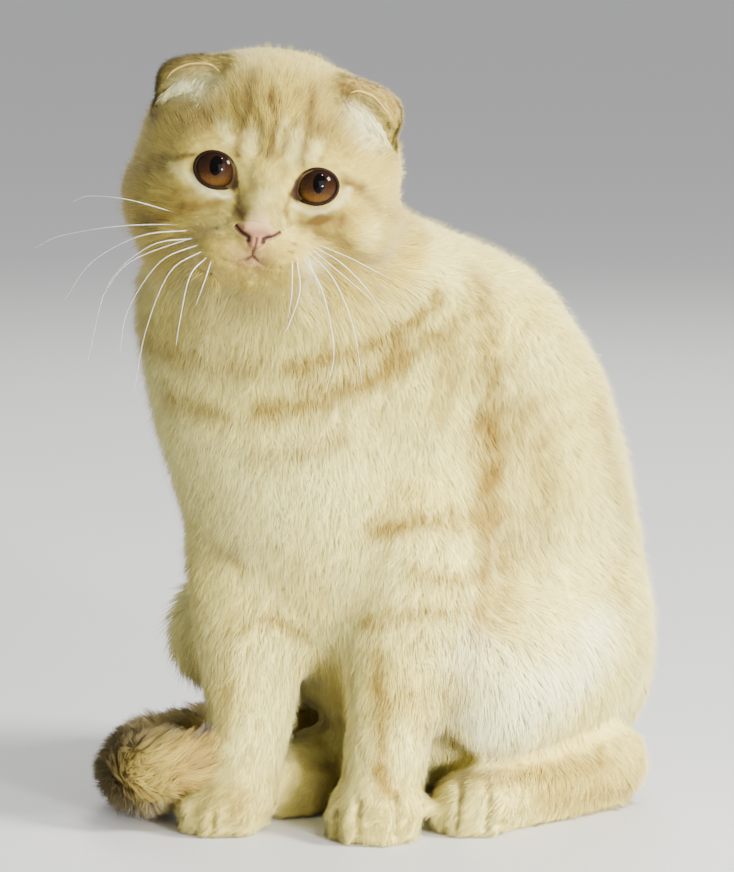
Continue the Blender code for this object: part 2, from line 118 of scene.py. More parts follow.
# ---- The floor and the light
# A plain pale table top, and soft studio light: a key from high on the right, a broad fill
# beside the camera, a small lamp that sparkles in the eyes, a weak rim from behind and a soft
# spot on the body.
FLOOR_SIZE = 12.0
FLOOR_COLOUR = (0.62, 0.63, 0.65, 1.0)
LAMPS = (
    ("key", (1.55, 0.70, 1.16), 0.45, 104.0, (1.0, 0.97, 0.88)),
    ("fill", (2.35, -0.89, 0.68), 1.60, 36.0, (1.0, 0.98, 0.93)),
    ("sparkle", (1.03, -0.05, 1.71), 0.12, 14.0, (1.0, 1.0, 1.0)),
    ("rim", (-0.90, 1.30, 1.20), 0.80, 22.0, (1.0, 0.97, 0.90)),
)
SPOT_PLACE = Vector((1.72, -0.62, 0.10))
SPOT_AIM = Vector((0.0, 0.0, -0.115))
SPOT_POWER = 700.0
SPOT_ANGLE = math.radians(15.5)
SPOT_COLOUR = (1.0, 0.98, 0.92)
SPOT_SOFTNESS = 0.20
ROOM_COLOUR = (0.86, 0.86, 0.84, 1.0)
ROOM_LIGHT = 0.70

floor_form = bmesh.new()
bmesh.ops.create_grid(floor_form, x_segments=1, y_segments=1, size=FLOOR_SIZE)
floor_mesh = bpy.data.meshes.new("floor")
floor_form.to_mesh(floor_mesh)
floor_form.free()
floor = bpy.data.objects.new("floor", floor_mesh)
bpy.context.scene.collection.objects.link(floor)
floor_finish = bpy.data.materials.new("table_top")
floor_finish.use_nodes = True
floor_shader = floor_finish.node_tree.nodes["Principled BSDF"]
floor_shader.inputs["Base Color"].default_value = FLOOR_COLOUR
floor_shader.inputs["Roughness"].default_value = 0.45
floor_mesh.materials.append(floor_finish)

for lamp_name, lamp_place, lamp_size, lamp_power, lamp_colour in LAMPS:
    lamp_data = bpy.data.lights.new(lamp_name, "AREA")
    lamp_data.size = lamp_size
    lamp_data.energy = lamp_power
    lamp_data.color = lamp_colour
    lamp = bpy.data.objects.new(lamp_name, lamp_data)
    lamp.location = aim + Vector(lamp_place)
    lamp.rotation_euler = (lamp.location - aim).to_track_quat("Z", "Y").to_euler()
    bpy.context.scene.collection.objects.link(lamp)

# A soft-edged spot from low on the right lifts the flank, legs and paws above the face
spot_data = bpy.data.lights.new("body_lamp", "SPOT")
spot_data.energy = SPOT_POWER
spot_data.color = SPOT_COLOUR
spot_data.shadow_soft_size = SPOT_SOFTNESS
spot_data.spot_size = SPOT_ANGLE
spot_data.spot_blend = 1.0
body_lamp = bpy.data.objects.new("body_lamp", spot_data)
body_lamp.location = aim + SPOT_PLACE
body_lamp.rotation_euler = (SPOT_PLACE - SPOT_AIM).to_track_quat("Z", "Y").to_euler()
bpy.context.scene.collection.objects.link(body_lamp)

room = bpy.data.worlds.new("room")
room.use_nodes = True
room.node_tree.nodes["Background"].inputs["Color"].default_value = ROOM_COLOUR
room.node_tree.nodes["Background"].inputs["Strength"].default_value = ROOM_LIGHT
bpy.context.scene.world = room

# ---- The skin
# One closed skin over all the flesh, from the nose to the feet. It is drawn in from the coat's
# outline by the depth of the fur: 4 to 5 mm on the body, 2 mm on the feet, 1 mm on the face.
SKIN_VOXEL = 0.0016
SKIN_SMOOTHING = 10
SEAM_CLOSE = 0.0004
FAR_OFF = 9.0  # stands for the distance to what is out of reach
EYE_RADIUS = 0.0105
EYE_SPLAY = math.radians(2)
EYE_PITCH = math.radians(-8)
EYE_SLANT = math.radians(-14)
LID_OPENING = (0.0085, 0.0070)
LID_RISE = 0.0009  # of the lids' edge over the eyeball
CORNER_REACH = 0.0021  # how far the inner corner is drawn out towards the nose
CORNER_ANGLE = math.radians(-16)
CORNER_SPREAD = 0.30
NOSE_PLACE = np.array((0.0, -0.0550, -0.0190))

FLESH = [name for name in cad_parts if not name.startswith(("eye", "nose", "tail"))]
INSIDE_FLESH = ("eye_left", "eye_right", "nose")


def add_node(form, name, grow):
    """Adds a merged copy of a node, a little larger all over, to a form."""
    part = bmesh.new()
    part.from_mesh(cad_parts[name].data)
    bmesh.ops.remove_doubles(part, verts=part.verts[:], dist=1e-6)
    part.normal_update()
    moves = [vert.normal * grow for vert in part.verts]
    for vert, move in zip(part.verts, moves):
        vert.co += move
    mesh = bpy.data.meshes.new(name + "_copy")
    part.to_mesh(mesh)
    part.free()
    form.from_mesh(mesh)
    bpy.data.meshes.remove(mesh)


def placed_in_scene(name, data):
    made = bpy.data.objects.new(name, data)
    bpy.context.scene.collection.objects.link(made)
    return made


def piece_from(name, form):
    """Turns a form into a piece of the scene."""
    mesh = bpy.data.meshes.new(name)
    form.to_mesh(mesh)
    form.free()
    return placed_in_scene(name, mesh)


def settled(piece):
    """Keeps what the piece's modifiers make as its mesh."""
    graph = bpy.context.evaluated_depsgraph_get()
    mesh = bpy.data.meshes.new_from_object(piece.evaluated_get(graph))
    piece.modifiers.clear()
    old = piece.data
    piece.data = mesh
    bpy.data.meshes.remove(old)
    return piece


def points_of(mesh):
    """Where the mesh's vertices are, as rows."""
    flat = np.empty(len(mesh.vertices) * 3, np.float32)
    mesh.vertices.foreach_get("co", flat)
    return flat.reshape(-1, 3).astype(float)


def normals_of(mesh):
    flat = np.empty(len(mesh.vertices) * 3, np.float32)
    mesh.vertex_normals.foreach_get("vector", flat)
    return flat.reshape(-1, 3).astype(float)


def set_points(mesh, points):
    mesh.vertices.foreach_set("co", points.astype(np.float32).ravel())
    mesh.update()


def ramp(value, low, high):
    """Runs smoothly from 0 at low to 1 at high."""
    share = np.clip((value - low) / (high - low), 0.0, 1.0)
    return share * share * (3 - 2 * share)


def bell(distance, width):
    """1 at no distance, falling softly to 0 over about twice the width."""
    return np.exp(-((distance / width) ** 2))


def in_head(points):
    """The points in the head's own frame."""
    return (points - HEAD_MIDDLE) @ HEAD_AXES


def eye_axes(side):
    """The eye's own axes, as columns: out to the left, back into the head, and up."""
    splay = Matrix.Rotation(side * EYE_SPLAY, 3, "Z") @ Matrix.Rotation(EYE_PITCH, 3, "X")
    slant = Matrix.Rotation(side * EYE_SLANT, 3, "Y")
    return np.array(head_turned @ splay @ slant)


def eye_middle(side):
    """The middle of an eyeball; the left eye's side is 1, the right eye's -1."""
    place = EYE_PLACE.copy()
    place.x *= side
    return np.array(head_middle + head_turned @ place)


def opening_radius(angle):
    """Half the width of the lids' opening in a direction, angle 0 being towards the nose."""
    wide, high = LID_OPENING
    oval = wide * high / np.hypot(high * np.cos(angle), wide * np.sin(angle))
    return oval + CORNER_REACH * bell(angle - CORNER_ANGLE, CORNER_SPREAD)


def round_eye(points, side):
    """How far each point is from the eye's axis, as a share of the opening, and from its middle."""
    local = (points - eye_middle(side)) @ eye_axes(side)
    inwards = local[:, 0] * -side
    away = np.hypot(inwards, local[:, 2])
    share = away / opening_radius(np.arctan2(local[:, 2], inwards))
    share[local[:, 1] > 0] = FAR_OFF
    return share, np.linalg.norm(local, axis=1)


# Where the coat is measured: place from the point under the chest, depth, length of the tufts,
# and the way they lie
POSE_ORIGIN = HEAD_MIDDLE - np.array((-0.0100, -0.1090, 0.2750))
COAT_STATIONS = (
    ((-0.012, -0.045, 0.252), 0.0040, 0.0062, (0.0, 0.8, -0.6)),
    ((0.000, 0.020, 0.235), 0.0043, 0.0066, (0.1, 0.6, -0.8)),
    ((0.000, 0.075, 0.160), 0.0043, 0.0071, (0.0, 0.2, -1.0)),
    ((0.000, 0.095, 0.070), 0.0047, 0.0077, (0.0, 0.1, -1.0)),
    ((0.070, 0.015, 0.165), 0.0043, 0.0066, (0.1, 0.45, -0.9)),
    ((-0.070, 0.015, 0.165), 0.0043, 0.0066, (-0.1, 0.45, -0.9)),
    ((0.045, -0.045, 0.200), 0.0040, 0.0062, (0.15, 0.15, -1.0)),
    ((-0.075, -0.060, 0.200), 0.0040, 0.0062, (-0.15, 0.15, -1.0)),
    ((-0.020, -0.140, 0.225), 0.0043, 0.0066, (0.0, -0.1, -1.0)),
    ((-0.024, -0.140, 0.180), 0.0050, 0.0074, (0.0, 0.0, -1.0)),
    ((-0.024, -0.110, 0.120), 0.0050, 0.0078, (0.0, 0.1, -1.0)),
    ((0.000, -0.045, 0.060), 0.0043, 0.0071, (0.0, 0.2, -1.0)),
    ((0.085, 0.020, 0.085), 0.0047, 0.0083, (0.1, 0.35, -0.9)),
    ((-0.085, 0.020, 0.085), 0.0047, 0.0083, (-0.1, 0.35, -0.9)),
    ((0.070, -0.060, 0.060), 0.0043, 0.0117, (0.2, 0.2, -1.0)),
    ((-0.090, -0.085, 0.075), 0.0043, 0.0117, (-0.2, 0.2, -1.0)),
    ((0.072, -0.020, 0.042), 0.0036, 0.0125, (0.1, 0.0, -1.0)),
    ((0.030, -0.075, 0.115), 0.0040, 0.0062, (0.05, 0.05, -1.0)),
    ((-0.045, -0.100, 0.115), 0.0040, 0.0062, (-0.05, 0.05, -1.0)),
    ((0.024, -0.075, 0.060), 0.0035, 0.0080, (0.0, 0.0, -1.0)),
    ((-0.034, -0.100, 0.060), 0.0035, 0.0080, (0.0, 0.0, -1.0)),
    ((0.024, -0.085, 0.030), 0.0020, 0.0050, (0.2, -0.4, -0.9)),
    ((-0.032, -0.110, 0.030), 0.0020, 0.0050, (0.0, -0.4, -0.9)),
    ((0.036, -0.102, 0.012), 0.0023, 0.0052, (0.4, -0.8, -0.5)),
    ((-0.032, -0.128, 0.012), 0.0023, 0.0052, (0.0, -0.9, -0.5)),
    ((0.068, 0.030, 0.018), 0.0025, 0.0084, (0.2, 0.3, -1.0)),
    ((-0.060, 0.030, 0.018), 0.0025, 0.0084, (-0.2, 0.3, -1.0)),
    ((0.060, -0.015, 0.018), 0.0020, 0.0070, (0.1, -0.3, -0.9)),
    ((-0.048, -0.030, 0.018), 0.0020, 0.0070, (0.0, -0.3, -0.9)),
    ((0.050, -0.058, 0.010), 0.0023, 0.0052, (-0.1, -0.9, -0.4)),
    ((-0.032, -0.082, 0.010), 0.0023, 0.0052, (0.2, -0.9, -0.4)),
)
STATION_REACH = 0.0088
EAR_MIDDLE = np.array((0.0400, -0.0080, 0.0400))
EAR_REACH = (0.030, 0.018)
FACE_DEPTHS = (0.0010, 0.0027, 0.0022)  # round the nose, what the rest adds, what the jowls add
FACE_LENGTHS = (0.0028, 0.0042, 0.0060)
EAR_COAT = (0.0019, 0.0042)  # depth and length
LID_THINNING = (0.80, 0.50)  # how much of the depth and of the length goes round the eyes
EAR_LIE = (0.5, -0.8, -0.2)


def unit(rows):
    return rows / np.maximum(np.linalg.norm(rows, axis=1, keepdims=True), 1e-9)


def head_share(points):
    """1 on the head, 0 on the body, blended across the neck."""
    local = in_head(points)
    behind = ramp(local[:, 2] + 0.25 * np.abs(local[:, 1]), -0.052, -0.030)
    return behind * ramp(np.linalg.norm(local, axis=1), 0.080, 0.068)


def ear_share(points):
    """1 on the ears, 0 away from them."""
    local = in_head(points)
    at_ear = np.minimum(
        np.linalg.norm(local - EAR_MIDDLE, axis=1),
        np.linalg.norm(local - EAR_MIDDLE * np.array((-1, 1, 1)), axis=1),
    )
    return ramp(at_ear, *EAR_REACH)


def blend(body, part, share):
    """Goes from one value to another with the share, by points or by rows."""
    share = share.reshape((-1,) + (1,) * (body.ndim - 1))
    return body * (1 - share) + part * share


def coat_at(points):
    """The coat's depth, its tufts' length and the way they lie at each point."""
    places = np.array([row[0] for row in COAT_STATIONS]) + POSE_ORIGIN
    sizes = np.array([[row[1], row[2]] + list(row[3]) for row in COAT_STATIONS])
    gaps = np.linalg.norm(points[:, None, :] - places[None, :, :], axis=2)
    weights = np.exp(-gaps / STATION_REACH) + 1e-9
    mixed = weights @ sizes / weights.sum(axis=1, keepdims=True)
    depth, length, lie = mixed[:, 0], mixed[:, 1], unit(mixed[:, 2:5])

    local = in_head(points)
    from_nose = local - NOSE_PLACE
    reach = np.linalg.norm(from_nose, axis=1)
    far = ramp(reach, 0.006, 0.075)
    side = np.sign(local[:, 0])
    flow = unit(from_nose * np.array((1.0, 0.7, 1.0)) + np.array((0, 0.012, 0)))
    under = ramp(local[:, 2], -0.022, -0.045)
    flow = unit(flow + under[:, None] * np.array((0, 0.3, -1.0)))
    head_lie = flow @ HEAD_AXES.T
    jowl = ramp(reach, 0.020, 0.036) * ramp(local[:, 2], -0.012, -0.034)
    head_depth = FACE_DEPTHS[0] + FACE_DEPTHS[1] * far + FACE_DEPTHS[2] * jowl
    head_length = FACE_LENGTHS[0] + FACE_LENGTHS[1] * far + FACE_LENGTHS[2] * jowl
    for eye_side in (-1, 1):
        from_eye = points - eye_middle(eye_side)
        near = ramp(np.linalg.norm(from_eye, axis=1), 0.024, 0.0125)
        head_depth = head_depth * (1 - LID_THINNING[0] * near)
        head_length = head_length * (1 - LID_THINNING[1] * near)
        head_lie = unit(head_lie + 1.5 * near[:, None] * unit(from_eye))
    on_ear = ear_share(points)
    head_depth = blend(head_depth, EAR_COAT[0], on_ear)
    head_length = blend(head_length, EAR_COAT[1], on_ear)
    fold = np.tile(EAR_LIE, (len(points), 1))
    fold[:, 0] *= side
    head_lie = unit(blend(head_lie, unit(fold) @ HEAD_AXES.T, on_ear))

    on_head = head_share(points)
    depth = blend(depth, head_depth, on_head)
    length = blend(length, head_length, on_head)
    return depth, length, unit(blend(lie, head_lie, on_head))


def surface_of(mesh, points=None):
    """The mesh, or its faces on other points, as a tree for finding where rays meet it."""
    points = points_of(mesh) if points is None else points
    faces = [tuple(face.vertices) for face in mesh.polygons]
    return BVHTree.FromPolygons([tuple(point) for point in points], faces)


def softened(form, verts, passes):
    """Evens out some of a form's surface."""
    for repeat in range(passes):
        bmesh.ops.smooth_vert(
            form, verts=verts, factor=0.5, use_axis_x=True, use_axis_y=True, use_axis_z=True
        )


def pushed_back(points, amount):
    """The points, moved by an amount each straight back into the head."""
    return points + (amount[:, None] * np.array((0.0, 1.0, 0.0))) @ HEAD_AXES.T


skin_form = bmesh.new()
for name in FLESH:
    add_node(skin_form, name, SEAM_CLOSE)
for name in INSIDE_FLESH:
    add_node(skin_form, name, 0.0)
skin = piece_from("skin", skin_form)
close_up = skin.modifiers.new("Close", "REMESH")
close_up.mode = "VOXEL"
close_up.voxel_size = SKIN_VOXEL
soften = skin.modifiers.new("Soften", "SMOOTH")
soften.factor = 0.5
soften.iterations = SKIN_SMOOTHING
settled(skin)

# The chin's overhang is filled, so that the jaw runs softly into the throat
JAW_HEIGHT = -0.037
THROAT_FOOT = -0.084
THROAT_HALF = 0.056
THROAT_FILL = 0.88
JAW_RISE = 0.010  # from the chin to below the cheeks
MOST_FILL = 0.040
FLAP_SHARE = 0.22  # the most of a thin flap's thickness that its coat takes on a side
LOWEST_SKIN = 0.0004


def jaw_height(across):
    """Where the jaw's underside starts, higher out towards the cheeks."""
    return JAW_HEIGHT + JAW_RISE * ramp(np.abs(across), 0.006, 0.026)


outer = points_of(skin.data)
local = in_head(outer)
shell = surface_of(skin.data, local)
columns = np.linspace(-THROAT_HALF, THROAT_HALF, 25)
fronts = []
for heights in (jaw_height(columns), columns * 0 + THROAT_FOOT):
    starts = [Vector((x, -0.14, height)) for x, height in zip(columns, heights)]
    hits = [shell.ray_cast(start, Vector((0, 1, 0)))[0] for start in starts]
    fronts.append([0.02 if hit is None else hit.y for hit in hits])
jaw_line = jaw_height(local[:, 0])
share = np.clip((jaw_line - local[:, 2]) / (jaw_line - THROAT_FOOT), 0, 1)
chin_front, chest_front = (np.interp(local[:, 0], columns, front) for front in fronts)
line = blend(chin_front, chest_front, share)
recess = np.clip(local[:, 1] - line, 0, MOST_FILL)
faces_front = ramp(-(normals_of(skin.data) @ HEAD_AXES)[:, 1], -0.25, 0.05)
inside = (share > 0) & (share < 1) & (local[:, 1] < 0.005)
fill = THROAT_FILL * recess * faces_front * ramp(np.abs(local[:, 0]), THROAT_HALF, 0.046) * inside
outer = pushed_back(outer, -fill)
set_points(skin.data, outer)
outward = normals_of(skin.data)
depth, length, lie = coat_at(outer)
on_floor = ramp(outer[:, 2], 0.006, 0.002) * ramp(outward[:, 2], -0.3, -0.8)
flaps = surface_of(skin.data)
for number in np.flatnonzero(ear_share(outer) > 0.05):
    inwards = Vector(-outward[number])
    far_side = flaps.ray_cast(Vector(outer[number]) + inwards * 0.0002, inwards, 0.02)[3]
    if far_side is not None:
        depth[number] = min(depth[number], FLAP_SHARE * far_side)
drawn_in = outer - outward * (depth * (1 - on_floor))[:, None]
drawn_in[:, 2] = np.maximum(drawn_in[:, 2], LOWEST_SKIN)
set_points(skin.data, drawn_in)

# The face is made finer, because the lids, nose and lips are carved in it
FACE_HALF = 0.036  # its width, front, top and bottom in the head's own frame
FACE_FRONT = -0.020
FACE_TOP = 0.026
FACE_FOOT = -0.046
FACE_PASSES = 6
JAW_PASSES = 130
face_turn = head_turned.transposed()


def on_face(place):
    at = face_turn @ (place - head_middle)
    return abs(at.x) < FACE_HALF and at.y < FACE_FRONT and FACE_FOOT < at.z < FACE_TOP


def under_jaw(place):
    at = face_turn @ (place - head_middle)
    below = -0.070 < at.z < float(jaw_height(at.x)) + 0.0030
    return below and at.length < 0.090 and abs(at.x) > -0.018 - at.z / 2


face_form = bmesh.new()
face_form.from_mesh(skin.data)
cut = set()
for face in face_form.faces:
    if on_face(face.calc_center_median()):
        cut.update(face.edges)
bmesh.ops.subdivide_edges(face_form, edges=list(cut), cuts=2, use_grid_fill=True)
bmesh.ops.triangulate(face_form, faces=[face for face in face_form.faces if len(face.verts) > 4])
softened(face_form, [vert for vert in face_form.verts if on_face(vert.co)], FACE_PASSES)
# Under the jaw the head runs softly into the throat
softened(face_form, [vert for vert in face_form.verts if under_jaw(vert.co)], JAW_PASSES)
face_form.to_mesh(skin.data)
face_form.free()

# The lids close over the eyeballs, and the line of the lips is pressed in
LIP_LINES = (
    ((-0.0006, -0.0228), (-0.0003, -0.0265)),
    ((-0.0027, -0.0280), (-0.0003, -0.0264), (0.0023, -0.0278)),
)
LIP_CORNERS = (
    ((-0.0027, -0.0280), (-0.0065, -0.0300), (-0.0115, -0.0296)),
    ((0.0023, -0.0278), (0.0062, -0.0297), (0.0112, -0.0290)),
)
LIP_WIDTH = 0.0007
LIP_DEPTH = 0.0010
NOSE_TOP = -0.0122
NOSE_FOOT = -0.0238
LID_TUCK = 0.0030  # how far the skin goes in behind the lids' edge


def near_line(points, line):
    """Distance from each point to a line through the given places, of any dimension."""
    knots = np.array(line, float)
    closest = np.full(len(points), FAR_OFF)
    for start, end in zip(knots, knots[1:]):
        run = end - start
        share = np.clip((points - start) @ run / max(run @ run, 1e-12), 0, 1)
        away = np.linalg.norm(points - start - share[:, None] * run, axis=1)
        closest = np.minimum(closest, away)
    return closest


def near_lips(local):
    """Distance from each point to the middle lines of the lips, in the head's own frame."""
    gaps = [near_line(local[:, [0, 2]], line) for line in LIP_LINES]
    return np.minimum.reduce(gaps)


carved = points_of(skin.data)
for eye_side in (-1, 1):
    share, gap = round_eye(carved, eye_side)
    middle = eye_middle(eye_side)
    away = unit(carved - middle)
    near = share < 1.9
    lid = EYE_RADIUS + LID_RISE - LID_TUCK * ramp(share, 1.02, 0.92)
    mixing = ramp(share, 1.60, 1.10)
    reach = gap * (1 - mixing) + lid * mixing
    carved[near] = middle + away[near] * reach[near, None]
local = in_head(carved)
for line in LIP_LINES + LIP_CORNERS:
    close = near_line(local[:, [0, 2]], line)
    press = LIP_DEPTH * bell(close, LIP_WIDTH) * (local[:, 1] < FACE_FRONT)
    carved = pushed_back(carved, press)
set_points(skin.data, carved)
skin_surface = surface_of(skin.data)


def seen_at(pixel):
    """The place on the skin that the camera sees at a pixel of the picture."""
    return skin_surface.ray_cast(camera.location, sight(pixel))[0]


def seen_line(pixels, step):
    """Places on the skin along a line through the pixels."""
    spots = []
    for start, end in zip(pixels, pixels[1:]):
        count = max(1, int(math.dist(start, end) / step))
        for number in range(count + 1):
            share = number / count
            pixel = [a + (b - a) * share for a, b in zip(start, end)]
            hit = seen_at(pixel)
            if hit is not None:
                spots.append(tuple(hit))
    return np.array(spots)


def near_spots(points, spots, reach):
    """Distance from each point to the nearest spot; points beyond the reach are left far off."""
    closest = np.full(len(points), FAR_OFF)
    inside = (points > spots.min(axis=0) - reach).all(axis=1)
    inside &= (points < spots.max(axis=0) + reach).all(axis=1)
    chosen = points[inside]
    found = np.full(len(chosen), FAR_OFF**2)
    for spot in spots:
        found = np.minimum(found, ((chosen - spot) ** 2).sum(axis=1))
    closest[inside] = np.sqrt(found)
    return closest


# The toes are parted by short creases, through pixels of the picture
TOE_LINES = (
    ((359, 800), (357, 822), (356, 842)),
    ((396, 798), (398, 815), (396, 834)),
    ((336, 812), (335, 830)),
    ((181, 812), (179, 832)),
    ((214, 812), (213, 832)),
    ((461, 782), (460, 800), (456, 826)),
    ((488, 784), (490, 808), (487, 830)),
    ((516, 790), (518, 812), (514, 826)),
)
TOE_WIDTH = 0.0017
TOE_DEPTH = 0.0022
TOE_REACH = 0.005
toe_marks = [seen_line(pixels, 2.0) for pixels in TOE_LINES]
carved, outward = points_of(skin.data), normals_of(skin.data)
for spots in toe_marks:
    close = near_spots(carved, spots, TOE_REACH)
    carved -= outward * (TOE_DEPTH * bell(close, TOE_WIDTH))[:, None]
set_points(skin.data, carved)
skin_surface = surface_of(skin.data)
skin.data.shade_smooth()

# ---- The markings
# A cream tabby: pale cream all over, with tan lines on the brow and cheeks, faint necklaces,
# a tan stripe behind each shoulder, bars on the forelegs, and near-white on the thighs and bib.
# Some of these colours also serve as painted shade: on the throat under the chin, between the
# forelegs, in the groove beside the left foreleg, beside the bridge of the nose, under the ears'
# folds and in the creases between the toes. SHADE itself is painted shadow.
CREAM = np.array((0.80, 0.68, 0.165))
PALE = np.array((0.87, 0.80, 0.29))
WHITE = np.array((0.91, 0.87, 0.47))
FACE = np.array((0.60, 0.46, 0.085))
TAN = np.array((0.46, 0.325, 0.042))
BAR = np.array((0.30, 0.19, 0.022))
STREAK = np.array((0.150, 0.085, 0.012))
DEEP_TAN_AND_SHADE = np.array((0.12, 0.060, 0.011))
OLIVE_TINT_AND_SHADE = np.array((0.19, 0.145, 0.045))
ROSE_TAN = np.array((0.52, 0.34, 0.10))
GOLD = np.array((0.33, 0.215, 0.040))
SHADE = np.array((0.12, 0.065, 0.020))
UMBER = np.array((0.045, 0.018, 0.007))
ROSE = np.array((0.54, 0.27, 0.15))
NOSE_SKIN = np.array((0.62, 0.42, 0.20))


def noise(points, scale, seed):
    """Smooth noise from -1 to 1, the same every run: a few crossing waves."""
    draw = np.random.default_rng(seed)
    total = np.zeros(len(points))
    for octave in range(7):
        way = draw.normal(size=3)
        way /= np.linalg.norm(way)
        pitch = 2 * math.pi / scale * draw.uniform(0.6, 1.7)
        other = draw.normal(size=3)
        other /= np.linalg.norm(other)
        bend = np.sin(points @ other * pitch * 0.7 + draw.uniform(0, 6.28))
        total += np.sin(points @ way * pitch + 1.4 * bend + draw.uniform(0, 6.28))
    return np.clip(total / 3.4, -1, 1)


def swirl_of(place, scale, seed):
    """Smooth wandering directions."""
    return np.stack([noise(place, scale, seed + axis) for axis in range(3)], axis=1)
